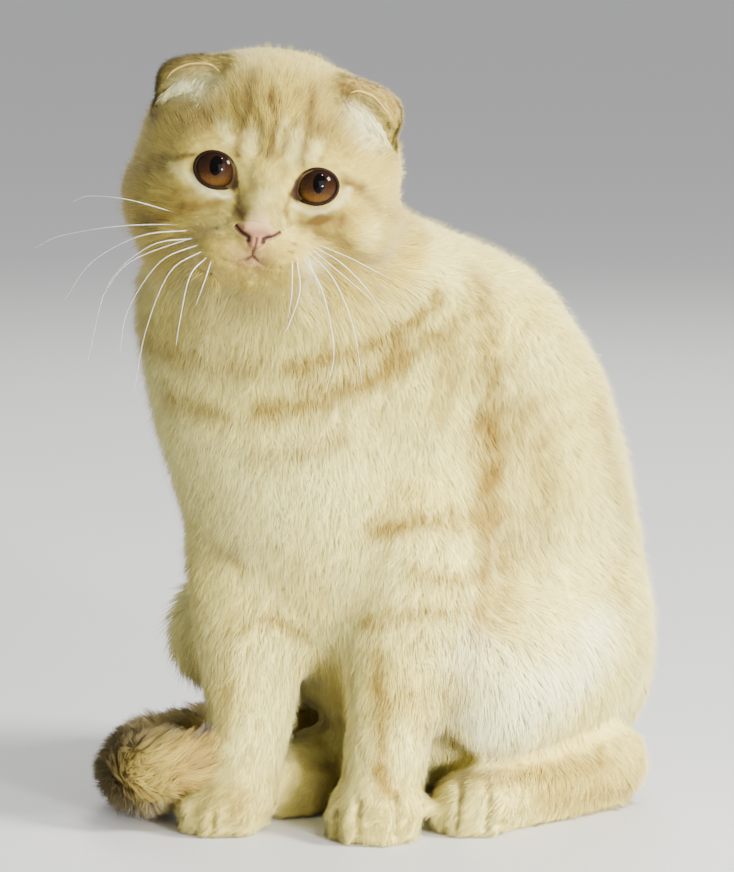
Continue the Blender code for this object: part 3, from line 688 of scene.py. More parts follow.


# Marks on the head, through pixels of the picture: half width, strength, colour. Those beside the
# bridge of the nose and under the ears' folds are painted shade
HEAD_MARKS = (
    (((253.8, 74), (250.4, 92.4), (249.2, 106.2)), 0.0025, 0.98, STREAK),
    (((249.2, 106.2), (244.6, 122.2), (242.3, 138.3), (238.9, 153.2)), 0.0016, 1.00, STREAK),
    (((234.3, 99.3), (237.7, 115.4), (237.7, 151)), 0.0010, 0.78, STREAK),
    (((258.4, 117.7), (261.8, 129.1), (262.4, 140.6), (260.7, 153.2)), 0.0013, 0.98, STREAK),
    (
        ((271, 89), (272.2, 103.9), (274.5, 117.7), (273.9, 132.6), (269.3, 156.7)),
        0.0014, 1.00, STREAK,
    ),
    (((298.6, 74), (297.4, 85.5), (297, 100)), 0.0011, 0.72, STREAK),
    (
        ((296.3, 120), (289.4, 129.1), (284.8, 138.3), (282.5, 149.8), (277.9, 155.5)),
        0.0011, 0.98, STREAK,
    ),
    (((286, 73), (290, 80)), 0.0010, 0.65, STREAK),
    (((280.2, 101.6), (282.5, 108.5)), 0.0009, 0.65, STREAK),
    (((312.3, 85.5), (310, 103.9), (308.9, 120), (306.6, 136), (302, 163.6)), 0.0020, 1.00, STREAK),
    (((336, 90), (342, 91)), 0.0063, 0.65, STREAK),
    (((322, 127), (332, 124)), 0.0057, 0.59, STREAK),
    (((222.8, 62.6), (229.7, 69.4)), 0.0028, 0.72, DEEP_TAN_AND_SHADE),
    (((196, 113), (205, 118)), 0.0063, 0.65, STREAK),
    (((186, 127), (191, 126)), 0.0040, 0.52, STREAK),
    (((224, 126.8), (229.7, 140.6)), 0.0024, 0.75, PALE),
    (((251.5, 133.7), (250.4, 149.8)), 0.0024, 0.66, PALE),
    (((284.8, 120), (277.9, 140.6)), 0.0013, 0.57, PALE),
    (((296.3, 136), (291.7, 159)), 0.0028, 0.71, PALE),
    (((319.2, 145.2), (313.5, 156.7)), 0.0022, 0.57, PALE),
    (((329.6, 148.6), (321.5, 157.8)), 0.0010, 0.65, STREAK),
    # Painted shade beside the bridge of the nose, in olive
    (((252, 165.3), (254.3, 185.9)), 0.0018, 0.59, OLIVE_TINT_AND_SHADE),
    (((284.8, 165), (286, 175)), 0.0020, 0.52, OLIVE_TINT_AND_SHADE),
    (((268, 195), (257.8, 204.3)), 0.0028, 0.38, PALE),
    (((193.5, 154.9), (177.4, 157.2), (165.9, 159.5), (154.4, 159.5)), 0.0017, 1.00, STREAK),
    (((165.9, 165.3), (153.3, 169.8), (138.4, 173.3)), 0.0022, 0.72, OLIVE_TINT_AND_SHADE),
    (((170.5, 166.4), (191.2, 177.9), (200.4, 185.9)), 0.0022, 0.62, PALE),
    (((193.5, 190.5), (175, 191.7), (163.6, 199.7)), 0.0021, 0.52, STREAK),
    (
        ((217.6, 204.3), (200.4, 207.7), (184.3, 207.7), (157.9, 218), (143, 222.7)),
        0.0032, 0.85, STREAK,
    ),
    (((239.4, 197.4), (238.2, 208.9), (243, 214.8)), 0.0019, 1.00, DEEP_TAN_AND_SHADE),
    (((360.2, 189.4), (371.7, 199.7), (378.6, 211.2), (391.2, 220.4)), 0.0023, 0.65, STREAK),
    (((305, 222.7), (324.6, 219.2), (339.5, 219.2)), 0.0039, 0.98, STREAK),
    (((318.9, 234.1), (335, 237.6)), 0.0023, 0.72, STREAK),
    (((344.1, 242.2), (353.3, 249), (364.8, 257), (375.1, 256)), 0.0023, 0.85, STREAK),
    (((370.5, 237.6), (374, 227)), 0.0042, 0.42, PALE),
    (((325, 254.8), (335, 256)), 0.0035, 0.39, OLIVE_TINT_AND_SHADE),
    (((289, 195.1), (285.6, 208.9), (290.2, 222.7)), 0.0014, 0.91, STREAK),
    (((278.7, 213.5), (281, 227)), 0.0018, 0.45, STREAK),
    (((240, 253), (252, 264), (264, 256)), 0.0040, 0.33, ROSE),
    (((240.5, 265), (243, 265.2)), 0.0014, 0.52, DEEP_TAN_AND_SHADE),
    (((261, 268.6), (263.5, 268.6)), 0.0014, 0.52, DEEP_TAN_AND_SHADE),
    (((214, 228), (216.5, 228.6)), 0.0009, 0.78, DEEP_TAN_AND_SHADE),
    (((218.6, 238.4), (221.2, 239)), 0.0009, 0.78, DEEP_TAN_AND_SHADE),
    (((210.5, 250), (213, 250.4)), 0.0008, 0.65, DEEP_TAN_AND_SHADE),
    (((292.3, 243), (295, 243.6)), 0.0009, 0.72, DEEP_TAN_AND_SHADE),
    (((289, 252.2), (291.5, 252.8)), 0.0009, 0.72, DEEP_TAN_AND_SHADE),
    (((294.6, 264), (297, 264.4)), 0.0008, 0.59, DEEP_TAN_AND_SHADE),
    (((307.4, 264), (312, 270)), 0.0030, 0.47, WHITE),
    (((352, 82), (372, 88), (388, 99), (398, 110)), 0.0036, 0.62, ROSE_TAN),
    # Painted shade under the fold of the left ear
    (((366.7, 100), (379, 113), (388, 128)), 0.0016, 0.72, OLIVE_TINT_AND_SHADE),
    (((355, 115), (364, 126), (371, 136)), 0.0048, 0.81, WHITE),
    (((341, 91.7), (346, 92)), 0.0034, 0.65, STREAK),
    (((160, 66), (178, 60), (200, 56)), 0.0034, 0.45, STREAK),
    (((172, 77), (186, 69.5), (198, 67.5), (211, 71)), 0.0013, 0.62, ROSE_TAN),
    # A thin line of painted shadow under the rim of the right ear's fold
    (((172.3, 80), (186, 74), (199, 73), (208, 76)), 0.0007, 0.72, DEEP_TAN_AND_SHADE),
    (((185, 90), (205, 86)), 0.0056, 0.76, WHITE),
    # Painted shadow below the right ear, between its fold and the cheek
    (((168, 100), (163, 110), (155, 120)), 0.0022, 0.76, SHADE),
    (((157, 93), (150, 108), (143, 124)), 0.0016, 0.47, WHITE),
    (((194.6, 177.9), (202.7, 188.8), (215.3, 194), (228, 196.5)), 0.0013, 0.90, WHITE),
    (
        ((295.9, 204.8), (307.4, 211.8), (324.6, 210.2), (343, 201.5), (347, 189.4)),
        0.0012, 0.50, WHITE,
    ),
    (((343.5, 180.5), (353.3, 184.8), (362.2, 190.4)), 0.0019, 0.95, STREAK),
    (((237, 183.6), (239.4, 197.4)), 0.0011, 0.90, UMBER),
    (((302.0, 190.5), (296.0, 189.5)), 0.0013, 1.00, UMBER),
    (((297.5, 182.0), (295.0, 190.0), (298.0, 198.0)), 0.0014, 1.00, UMBER),
    (((232.0, 176.0), (234.5, 184.0), (233.0, 189.0)), 0.0011, 1.00, UMBER),
)
# Marks on the body in the same way; those far out on the left are mirrored to the hidden side
BODY_MARKS = (
    (((190, 440), (250, 480), (310, 520)), 0.0260, 0.62, PALE),
    (((285, 370), (355, 355), (414, 325), (436, 300)), 0.0042, 0.95, BAR),
    (((259, 414), (318, 407), (385, 377), (430, 338)), 0.0044, 1.00, BAR),
    (((300, 390), (350, 380), (400, 352)), 0.0026, 0.75, BAR),
    (((170, 400), (200, 412), (222, 418)), 0.0050, 0.70, BAR),
    (((150, 345), (185, 362), (240, 368)), 0.0066, 0.55, BAR),
    (((255, 462), (300, 455), (345, 440)), 0.0040, 0.60, BAR),
    (((479, 284), (486, 330), (492, 380), (490, 430)), 0.0084, 0.62, BAR),
    (((490, 425), (489, 470), (485, 510)), 0.0092, 0.90, BAR),
    (((485, 505), (481, 562)), 0.0074, 0.66, BAR),
    (((500, 520), (505, 570), (498, 629)), 0.0080, 0.70, BAR),
    (((452, 330), (446, 380), (440, 420)), 0.0060, 0.50, BAR),
    (((530, 414), (545, 490), (540, 562)), 0.0090, 0.55, BAR),
    (((600, 420), (622, 520), (618, 600)), 0.0090, 0.50, BAR),
    (((377, 532), (444, 525), (488, 518)), 0.0050, 0.85, BAR),
    (((414, 577), (459, 584), (481, 577)), 0.0028, 0.91, BAR),
    (((355, 629), (414, 614), (459, 614)), 0.0028, 0.91, BAR),
    (((414, 645), (445, 648), (473, 643)), 0.0025, 0.78, BAR),
    # Painted shade in the groove between the left foreleg and the flank
    (((485, 560), (480, 604), (471, 652), (462, 705), (455, 745)), 0.0044, 0.95, BAR),
    (((214, 547), (244, 570)), 0.0034, 0.65, BAR),
    (((237, 629), (274, 621), (318, 643)), 0.0032, 0.78, BAR),
    (((225, 640), (228, 700), (224, 735)), 0.0034, 0.59, BAR),
    (((378, 660), (384, 710), (378, 765), (388, 790)), 0.0051, 0.78, BAR),
    (((400, 680), (420, 720), (430, 740)), 0.0030, 0.52, BAR),
    (((470, 778), (540, 774), (600, 762)), 0.0057, 0.85, BAR),
    (((540, 800), (580, 800), (625, 790)), 0.0063, 0.65, BAR),
    (((225, 800), (238, 806)), 0.0080, 0.52, BAR),
    (((480, 735), (520, 715), (570, 685), (600, 640)), 0.0130, 0.90, WHITE),
    (((470, 660), (500, 700)), 0.0120, 0.66, WHITE),
    (((560, 560), (610, 540)), 0.0180, 0.38, PALE),
)


def seen_marks(marks, mirror):
    """The marks' places on the skin, with a mirrored copy of those far out on one side."""
    placed = []
    for pixels, width, strength, colour in marks:
        spots = seen_line(pixels, 2.5)
        if not len(spots):
            continue
        placed.append((spots, width, strength, colour))
        if mirror and spots[:, 0].mean() - POSE_ORIGIN[0] > 0.030:
            flipped = spots * np.array((-1, 1, 1)) + np.array((2 * POSE_ORIGIN[0], 0, 0))
            placed.append((flipped, width * 1.2, strength * 0.9, colour))
    return placed


head_marks = seen_marks(HEAD_MARKS, False)
body_marks = seen_marks(BODY_MARKS, True)


def markings(points):
    """The coat's colour at each point of the skin, with painted shade in its creases and hollows.
    """
    local = in_head(points)
    on_head = head_share(points)
    low = points - POSE_ORIGIN
    across, high = np.abs(local[:, 0]), local[:, 2]
    tone = on_head * noise(points, 0.0050, 31)
    mottle = (1 - on_head) * noise(points, 0.0085, 32)
    ground = low[:, 2]
    # Masks where painted shade falls: between the forelegs under the chest, and on the throat under
    # the chin
    inside = ramp(ground, 0.11, 0.06) * ramp(np.abs(low[:, 0]), 0.030, 0.012)
    throat = ramp(ground, 0.195, 0.215) * ramp(ground, 0.250, 0.235)
    # From the whole coat to its parts: the back, haunches and feet are deeper than the sides,
    # painted shade darkens the insides of the legs and the throat, olive painted shade lies on the
    # bridge of the nose, and the face is mottled with paler and deeper flecks
    washes = (
        (PALE, 0.60 + 0.30 * noise(points, 0.060, 3)),
        (TAN, 0.15 * (1 + noise(points, 0.010, 4))),
        (TAN, 0.22 * (ramp(low[:, 1], 0.03, 0.09) * (1 - on_head))),
        # Painted shade between the forelegs
        (DEEP_TAN_AND_SHADE, 0.40 * (inside * ramp(low[:, 1], -0.09, -0.06))),
        # Painted shade on the throat under the chin
        (TAN, 0.25 * (throat * ramp(low[:, 1], -0.06, -0.11))),
        (TAN, 0.40 * (ramp(ground, 0.045, 0.025) * ramp(low[:, 1], -0.04, 0.0))),
        (TAN, 0.22 * ramp(ground, 0.036, 0.020)),
        (FACE, 0.78 * on_head * ramp(high, -0.046, -0.034)),
        (TAN, 0.72 * (on_head * ramp(high, 0.002, 0.020))),
        (CREAM, 0.45 * on_head * ramp(high, 0.041, 0.048)),
        (TAN, 0.76 * (on_head * ramp(across, 0.018, 0.034) * ramp(high, 0.012, -0.004))),
        # Painted shade on the bridge of the nose between the eyes
        (OLIVE_TINT_AND_SHADE, 0.52 * (on_head * ramp(across, 0.012, 0.004) * ramp(high, 0.012, -0.006))),
        (TAN, 0.60 * (on_head * ramp(across, 0.026, 0.018) * ramp(high, -0.016, -0.022))),
        (OLIVE_TINT_AND_SHADE, 0.34 * ear_share(points)),
        (TAN, 0.35 * np.clip(tone, 0, 1)),
        (CREAM, 0.40 * np.clip(-tone, 0, 1)),
        (BAR, 0.30 * np.clip(mottle, 0, 1)),
    )
    colour = np.tile(CREAM, (len(points), 1))
    for wash, amount in washes:
        colour = blend(colour, wash, amount)

    wobble = 1 + 0.20 * noise(points, 0.010, 11)
    broken = 1.10 + 0.42 * noise(points, 0.013, 15) + 0.20 * noise(points, 0.005, 16)
    drift = 0.0008 * swirl_of(points, 0.008, 12)
    for spots, width, strength, shade in head_marks:
        close = near_spots(points + drift, spots, 2.6 * width)
        amount = bell(close, 1.2 * width) * strength * wobble
        colour = blend(colour, shade, np.clip(amount, 0, 1))
    for spots, width, strength, shade in body_marks:
        close = near_spots(points + 2.6 * drift, spots, 2.4 * width)
        amount = bell(close, width) * strength * broken * (1 - 0.8 * on_head)
        colour = blend(colour, shade, np.clip(amount, 0, 1))
    # Painted shade in the creases between the toes
    for spots in toe_marks:
        amount = 0.92 * bell(near_spots(points, spots, TOE_REACH), 0.0014)
        colour = blend(colour, DEEP_TAN_AND_SHADE * 0.6, amount)

    front = on_head * ramp(local[:, 1], 0.020, 0.0)
    nose_top = np.hypot(local[:, 0] / 0.0050, (high - NOSE_TOP) / 0.0042)
    colour = blend(colour, NOSE_SKIN, 0.75 * ramp(nose_top, 1.3, 0.5) * front)
    lips = near_lips(local)
    colour = blend(colour, ROSE, 0.55 * bell(lips, 0.0022) * front)
    colour = blend(colour, UMBER, 0.85 * bell(lips, LIP_WIDTH) * front)
    for eye_side in (-1, 1):
        share = round_eye(points, eye_side)[0]
        colour = blend(colour, UMBER, 0.92 * ramp(share, 1.12, 1.03))
    return np.clip(colour, 0.0, 1.0)


def paint(mesh, colours):
    """Stores a colour for each vertex, as the attribute that the coat's finish reads."""
    layer = mesh.color_attributes.new("coat_colour", "FLOAT_COLOR", "POINT")
    full = np.ones((len(mesh.vertices), 4), np.float32)
    full[:, :3] = colours
    layer.data.foreach_set("color", full.ravel())


def new_finish(name):
    """A new material, its nodes and its shader."""
    finish = bpy.data.materials.new(name)
    finish.use_nodes = True
    return finish, finish.node_tree, finish.node_tree.nodes["Principled BSDF"]


def node(tree, kind, links=(), values=(), **settings):
    """Adds a node: what is linked to its inputs, the values of others, and its own settings."""
    made = tree.nodes.new("ShaderNode" + kind)
    for key, value in settings.items():
        setattr(made, key, value)
    for key, socket in dict(links).items():
        tree.links.new(socket, made.inputs[key])
    for key, value in dict(values).items():
        made.inputs[key].default_value = value
    return made


def set_inputs(shader, **values):
    """Sets a shader's inputs; an underscore stands for each space in their names."""
    for key, value in values.items():
        shader.inputs[key.replace("_", " ")].default_value = value


def relief_from(tree, shader, height, strength, distance):
    bump = node(tree, "Bump", {"Height": height}, {"Strength": strength, "Distance": distance})
    tree.links.new(bump.outputs["Normal"], shader.inputs["Normal"])


def coat_finish(name, roughness, sheen, darken, bump_scale):
    """Fur: the piece's own colour, broken by fine hair noise, dull with a soft sheen."""
    finish, tree, shader = new_finish(name)
    own = node(tree, "VertexColor", layer_name="coat_colour")
    place = node(tree, "TexCoord").outputs["Object"]
    hairs = node(tree, "TexNoise", {"Vector": place}, {"Scale": bump_scale, "Detail": 3.0})
    reach = {"To Min": darken, "To Max": 1.0 + (1.0 - darken) * 0.6}
    level = node(tree, "MapRange", {"Value": hairs.outputs["Fac"]}, reach)
    parts = {0: own.outputs["Color"], "Scale": level.outputs["Result"]}
    tint = node(tree, "VectorMath", parts, operation="SCALE")
    tree.links.new(tint.outputs["Vector"], shader.inputs["Base Color"])
    relief_from(tree, shader, hairs.outputs["Fac"], 0.25, 0.0004)
    set_inputs(shader, Roughness=roughness, Sheen_Weight=sheen, Sheen_Roughness=0.5)
    set_inputs(shader, Specular_IOR_Level=0.25)
    return finish


under_coat = coat_finish("under_coat", 0.85, 0.0, 0.80, 900.0)
# The skin carries the coat's colours, darkened a little as painted shade deep among the tufts
paint(skin.data, markings(points_of(skin.data)) * 0.92)
skin.data.materials.append(under_coat)
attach(skin, "root")
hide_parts(*FLESH)

# ---- The tail
# A thick furry tail, laid round the right haunch with its end at the right forepaw. Its skin
# is a tapered tube through the middle of the flesh, rooted in the rump.
TAIL_ROUTE = (
    ((0.010, 0.062, 0.036), 0.0150),
    ((-0.010, 0.076, 0.030), 0.0150),
    ((-0.034, 0.082, 0.0215), 0.0140),
    ((-0.074, 0.062, 0.0190), 0.0125),
    ((-0.098, 0.020, 0.0180), 0.0118),
    ((-0.106, -0.026, 0.0176), 0.0114),
    ((-0.102, -0.072, 0.0180), 0.0116),
    ((-0.087, -0.104, 0.0200), 0.0126),
    ((-0.068, -0.122, 0.0220), 0.0130),
    ((-0.050, -0.123, 0.0255), 0.0110),
    ((-0.041, -0.116, 0.0295), 0.0080),
)
TAIL_STEPS = 8
TAIL_SIDES = 40
TAIL_TIP = 0.006
TAIL_RINGS = 38.0


def smooth_route(stations, steps):
    """Places and radii along a smooth curve through the stations."""
    rows = np.array([list(place) + [radius] for place, radius in stations])
    rows = np.vstack((2 * rows[0] - rows[1], rows, 2 * rows[-1] - rows[-2]))
    out = []
    for number in range(1, len(rows) - 2):
        before, start, end, after = rows[number - 1 : number + 3]
        for step in range(steps):
            t = step / steps
            square = 2 * before - 5 * start + 4 * end - after
            cube = 3 * start - before - 3 * end + after
            out.append(0.5 * (2 * start + (end - before) * t + square * t * t + cube * t**3))
    out.append(rows[-2])
    return np.array(out)


def along_run(run):
    """The way a route runs at each of its places."""
    ahead = np.vstack((run[1:], run[-1:]))[:, :3]
    behind = np.vstack((run[:1], run[:-1]))[:, :3]
    return ahead - behind


def nearest_of(spots, points):
    """The number of the spot that lies nearest to each point."""
    tree = KDTree(len(spots))
    for number, spot in enumerate(spots):
        tree.insert(Vector(spot[:3]), number)
    tree.balance()
    return np.array([tree.find(Vector(point))[1] for point in points])


tail_run = smooth_route(TAIL_ROUTE, TAIL_STEPS)
tail_run[:, :3] += POSE_ORIGIN
tail_form = bmesh.new()
rings = []
for row, ahead in zip(tail_run, along_run(tail_run)):
    turn = Vector(ahead).to_track_quat("Z", "Y")
    place = Matrix.LocRotScale(Vector(row[:3]), turn, None)
    ring = bmesh.ops.create_circle(tail_form, segments=TAIL_SIDES, radius=row[3], matrix=place)
    rings.append(ring["verts"])
for pair in zip(rings, rings[1:]):
    edges = {}  # without repeats, in the same order every run
    for verts in pair:
        for vert in verts:
            edges.update((edge, 1) for edge in vert.link_edges if edge.other_vert(vert) in verts)
    bmesh.ops.bridge_loops(tail_form, edges=list(edges))
for verts, end, inner in ((rings[0], *tail_run[:2]), (rings[-1], *tail_run[:-3:-1])):
    out = Vector(end[:3] - inner[:3]).normalized()
    tip = tail_form.verts.new(Vector(end[:3]) + out * TAIL_TIP)
    for edge in {edge: 1 for vert in verts for edge in vert.link_edges if edge.is_boundary}:
        tail_form.faces.new((edge.verts[0], edge.verts[1], tip))
bmesh.ops.recalc_face_normals(tail_form, faces=tail_form.faces[:])
tail_skin = piece_from("tail_skin", tail_form)
tail_skin.data.shade_smooth()


def tail_markings(points):
    """Deeper gold than the body, in soft rings and deeper and paler clumps."""
    along = nearest_of(tail_run, points) / len(tail_run)
    rings_on = 0.5 + 0.5 * np.sin(along * TAIL_RINGS + 0.8 * noise(points, 0.03, 21))
    clumps = noise(points, 0.013, 22)
    colour = np.tile(GOLD, (len(points), 1))
    colour = blend(colour, CREAM, 0.04 + 0.20 * rings_on)
    colour = blend(colour, DEEP_TAN_AND_SHADE, 0.32 * np.clip(clumps, 0, 1))
    return blend(colour, CREAM, 0.18 * np.clip(-clumps, 0, 1))


# Darkened a little more than the body's skin, as painted shade deep among the tail's tufts
paint(tail_skin.data, tail_markings(points_of(tail_skin.data)) * 0.85)
tail_skin.data.materials.append(under_coat)
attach(tail_skin, "root")
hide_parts("tail_1", "tail_2", "tail_3", "tail_4")

# ---- The eyes
# Round copper eyes, dark above and amber below, with an upright oval pupil, painted on a glossy
# eyeball whose front bulges as a cornea. The lids' rims are dark brown, bare and moist.
IRIS_REACH = 0.90  # as a share of the eyeball's radius
CORNEA_BULGE = 0.0009
PUPIL_HALF = (0.250, 0.400)  # its half width and height, as shares of the eyeball's radius
PUPIL_COLOUR = (0.0015, 0.001, 0.001, 1)
IRIS_RING = (0.012, 0.004, 0.002, 1)
IRIS_COLOURS = (  # from the foot of the iris, from its top and from between
    (0.09, (0.185, 0.085, 0.013)),
    (0.60, (0.015, 0.006, 0.003)),
    (0.35, (0.038, 0.016, 0.005)),
)


def eye_finish():
    """The iris and pupil, drawn on the eye's own map, in which its rim is a circle."""
    finish, tree, shader = new_finish("copper_eye")

    def maths(operation, *parts):
        links = {key: part for key, part in enumerate(parts) if not isinstance(part, float)}
        values = {key: part for key, part in enumerate(parts) if isinstance(part, float)}
        return node(tree, "Math", links, values, operation=operation).outputs[0]

    def length_of(first, second):
        squares = maths("MULTIPLY", first, first), maths("MULTIPLY", second, second)
        return maths("SQRT", maths("ADD", *squares))

    def over(below, colour, mask):
        parts = {"Factor": mask, 6: below}
        return node(tree, "Mix", parts, {7: colour}, data_type="RGBA").outputs[2]

    def edge(value, low, high):
        reach = {"From Min": low, "From Max": high}
        kind = {"interpolation_type": "SMOOTHSTEP"}
        return node(tree, "MapRange", {"Value": value}, reach, **kind).outputs["Result"]

    front = node(tree, "UVMap", uv_map="front").outputs["UV"]
    split = node(tree, "SeparateXYZ", {0: front})
    across = maths("MULTIPLY_ADD", split.outputs["X"], 2.0, -1.0)
    up = maths("MULTIPLY_ADD", split.outputs["Y"], 2.0, -1.0)
    out = length_of(across, up)
    pupil = length_of(maths("DIVIDE", across, PUPIL_HALF[0]), maths("DIVIDE", up, PUPIL_HALF[1]))
    turn = maths("MULTIPLY", maths("ARCTAN2", up, across), 9.0)
    polar = node(tree, "CombineXYZ", {"X": turn, "Y": maths("MULTIPLY", out, 3.0)})
    parts = {"Vector": polar.outputs["Vector"]}
    fibres = node(tree, "TexNoise", parts, {"Scale": 2.2, "Detail": 4.0})
    height = node(tree, "ValToRGB", {"Fac": maths("MULTIPLY_ADD", up, 0.5, 0.5)})
    steps = height.color_ramp.elements
    for step, (place, colour) in zip((steps[0], steps[1], None), IRIS_COLOURS):
        step = step or steps.new(place)
        step.position, step.color = place, (*colour, 1)
    reach = {"From Min": 0.3, "From Max": 0.7, "To Min": 0.65, "To Max": 1.35}
    rays = node(tree, "MapRange", {"Value": fibres.outputs["Fac"]}, reach)
    parts = {0: height.outputs["Color"], "Scale": rays.outputs["Result"]}
    lit = node(tree, "VectorMath", parts, operation="SCALE")
    ringed = over(lit.outputs["Vector"], IRIS_RING, edge(out, 0.60, 0.84))
    holed = over(ringed, PUPIL_COLOUR, maths("SUBTRACT", 1.0, edge(pupil, 0.90, 1.06)))
    tree.links.new(holed, shader.inputs["Base Color"])
    set_inputs(shader, Roughness=0.03, Specular_IOR_Level=0.10)
    return finish


copper_eye = eye_finish()
PUPILS = {-1: (216.0, 165.5), 1: (319.2, 183.3)}  # the pixels where they are seen
for side, name in ((1, "left"), (-1, "right")):
    eye_form = bmesh.new()
    bmesh.ops.create_uvsphere(eye_form, u_segments=64, v_segments=40, radius=EYE_RADIUS)
    eye_form.transform(Matrix.Rotation(math.radians(90), 4, "X"))
    front_map = eye_form.loops.layers.uv.new("front")
    for face in eye_form.faces:
        for loop in face.loops:
            spot = loop.vert.co / EYE_RADIUS
            if spot.y > 0:
                spot = Vector((spot.x, 0, spot.z)).normalized()
            loop[front_map].uv = (0.5 + spot.x / 2, 0.5 + spot.z / 2)
    for vert in eye_form.verts:
        out = math.hypot(vert.co.x, vert.co.z) / EYE_RADIUS
        if vert.co.y < 0 and out < IRIS_REACH:
            vert.co.y -= CORNEA_BULGE * (1 - (out / IRIS_REACH) ** 2)
    middle = Vector(eye_middle(side))
    ray = sight(PUPILS[side])
    along = (middle - camera.location).dot(ray)
    aside = camera.location + ray * along - middle
    looks = (aside - ray * math.sqrt(EYE_RADIUS**2 - aside.length_squared)).normalized()
    ahead = head_turned @ Vector((0, -1, 0))
    eye_turn = ahead.rotation_difference(looks).to_matrix() @ head_turned
    eye_form.transform(Matrix.Translation(middle) @ eye_turn.to_4x4())
    eye = piece_from(f"eyeball_{name}", eye_form)
    eye.data.shade_smooth()
    eye.data.materials.append(copper_eye)
    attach(eye, "root")
    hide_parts(f"eye_{name}")


def plain_finish(name, colour, roughness, coat=0.0):
    """A bare surface in one hue, lightly mottled and uneven."""
    finish, tree, shader = new_finish(name)
    place = node(tree, "TexCoord").outputs["Object"]
    mottle = node(tree, "TexNoise", {"Vector": place}, {"Scale": 700.0}).outputs["Fac"]
    dark = [value * 0.75 for value in colour] + [1]
    light = [min(1.0, value * 1.25) for value in colour] + [1]
    mix = node(tree, "Mix", {"Factor": mottle}, data_type="RGBA")
    mix.inputs[6].default_value, mix.inputs[7].default_value = dark, light
    tree.links.new(mix.outputs[2], shader.inputs["Base Color"])
    relief_from(tree, shader, mottle, 0.3, 0.0003)
    set_inputs(shader, Roughness=roughness, Coat_Weight=coat, Coat_Roughness=0.2)
    return finish


def tube(name, points, radius, sides=8, closed=False, taper=None):
    """A round tube along the points, as a mesh; taper gives each point's share of the radius."""
    run = bpy.data.curves.new(name, "CURVE")
    run.dimensions = "3D"
    run.bevel_depth = radius
    run.bevel_resolution = max(0, sides // 2 - 2)
    run.use_fill_caps = not closed
    spline = run.splines.new("POLY")
    spline.points.add(len(points) - 1)
    spline.use_cyclic_u = closed
    for number, point in enumerate(points):
        spline.points[number].co = (*point, 1.0)
        spline.points[number].radius = 1.0 if taper is None else taper[number]
    holder = placed_in_scene(name, run)
    graph = bpy.context.evaluated_depsgraph_get()
    mesh = bpy.data.meshes.new_from_object(holder.evaluated_get(graph))
    bpy.data.objects.remove(holder)
    return placed_in_scene(name, mesh)


RIM_THICKNESS = 0.00078
RIM_STEPS = 72
RIM_RISE = 0.0005  # of the rim's middle over the eyeball
lid_rim = plain_finish("lid_rim", (0.016, 0.006, 0.003), 0.6)
set_inputs(lid_rim.node_tree.nodes["Principled BSDF"], Specular_IOR_Level=0.12)
for side, name in ((1, "left"), (-1, "right")):
    ring = []
    for step in range(RIM_STEPS):
        angle = 2 * math.pi * step / RIM_STEPS - math.pi
        reach = float(opening_radius(np.array(angle)))
        flat = Vector((-side * math.cos(angle) * reach, 0, math.sin(angle) * reach))
        over = EYE_RADIUS + RIM_RISE
        flat.y = -math.sqrt(max(over**2 - flat.x**2 - flat.z**2, 1e-8))
        ring.append(Vector(eye_middle(side)) + Matrix(eye_axes(side)) @ flat)
    rim = tube(f"lid_rim_{name}", ring, RIM_THICKNESS, sides=8, closed=True)
    rim.data.shade_smooth()
    rim.data.materials.append(lid_rim)
    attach(rim, "root")

# ---- The nose
# Bare pink leather, a shield with comma-shaped nostrils whose wings run out and up, and a
# groove down the middle that carries on into the lip.
NOSE_HALF_WIDTHS = (
    (0.00, 0.0030), (0.10, 0.0052), (0.20, 0.0079), (0.28, 0.0096), (0.36, 0.0099), (0.44, 0.0088),
    (0.52, 0.0070), (0.60, 0.0054), (0.70, 0.0044), (0.82, 0.0030), (0.93, 0.0014), (1.00, 0.0008),
)
NOSTRIL = (
    (0.0030, -0.0198), (0.0031, -0.0186), (0.0044, -0.0179), (0.0064, -0.0172), (0.0088, -0.0156),
)
NOSTRIL_WIDTH = 0.0009
NOSTRIL_DEPTH = 0.0016
GROOVE_WIDTH = 0.0006
GROOVE_DEPTH = 0.0006
GROOVE_TOP = -0.0180
WING_RISE = 0.0008  # of the swelling over each nostril
NOSE_COLUMNS = 44
NOSE_ROWS = 40
NOSE_BED = 0.0040  # how far the skin is pressed in under the leather
NOSE_THICKNESS = 0.0030
LEATHER = np.array((0.34, 0.165, 0.085))
LEATHER_TOP = np.array((0.56, 0.39, 0.18))
LEATHER_FOOT = np.array((0.56, 0.40, 0.16))
NOSTRIL_AND_GROOVE_SHADE = np.array((0.035, 0.010, 0.005))

face_surface = surface_of(skin.data, in_head(points_of(skin.data)))


def face_depth(x, z):
    """How far forward the skin of the face lies, in the head's own frame."""
    return face_surface.ray_cast(Vector((x, -0.10, z)), Vector((0, 1, 0)))[0].y


def down_nose(height):
    """The share of the way down the leather at a height, and its half width there."""
    down = (height - NOSE_TOP) / (NOSE_FOOT - NOSE_TOP)
    return down, np.interp(down, *np.transpose(NOSE_HALF_WIDTHS))


# The skin is pressed in under the leather, so that the nostrils can be deep
carved = points_of(skin.data)
local = in_head(carved)
down, half = down_nose(local[:, 2])
bed = ramp(half - np.abs(local[:, 0]), 0.0001, 0.0014)
bed = bed * ramp(down, 0.02, 0.14) * ramp(down, 1.0, 0.90) * (local[:, 1] < -0.03)
set_points(skin.data, pushed_back(carved, NOSE_BED * bed))

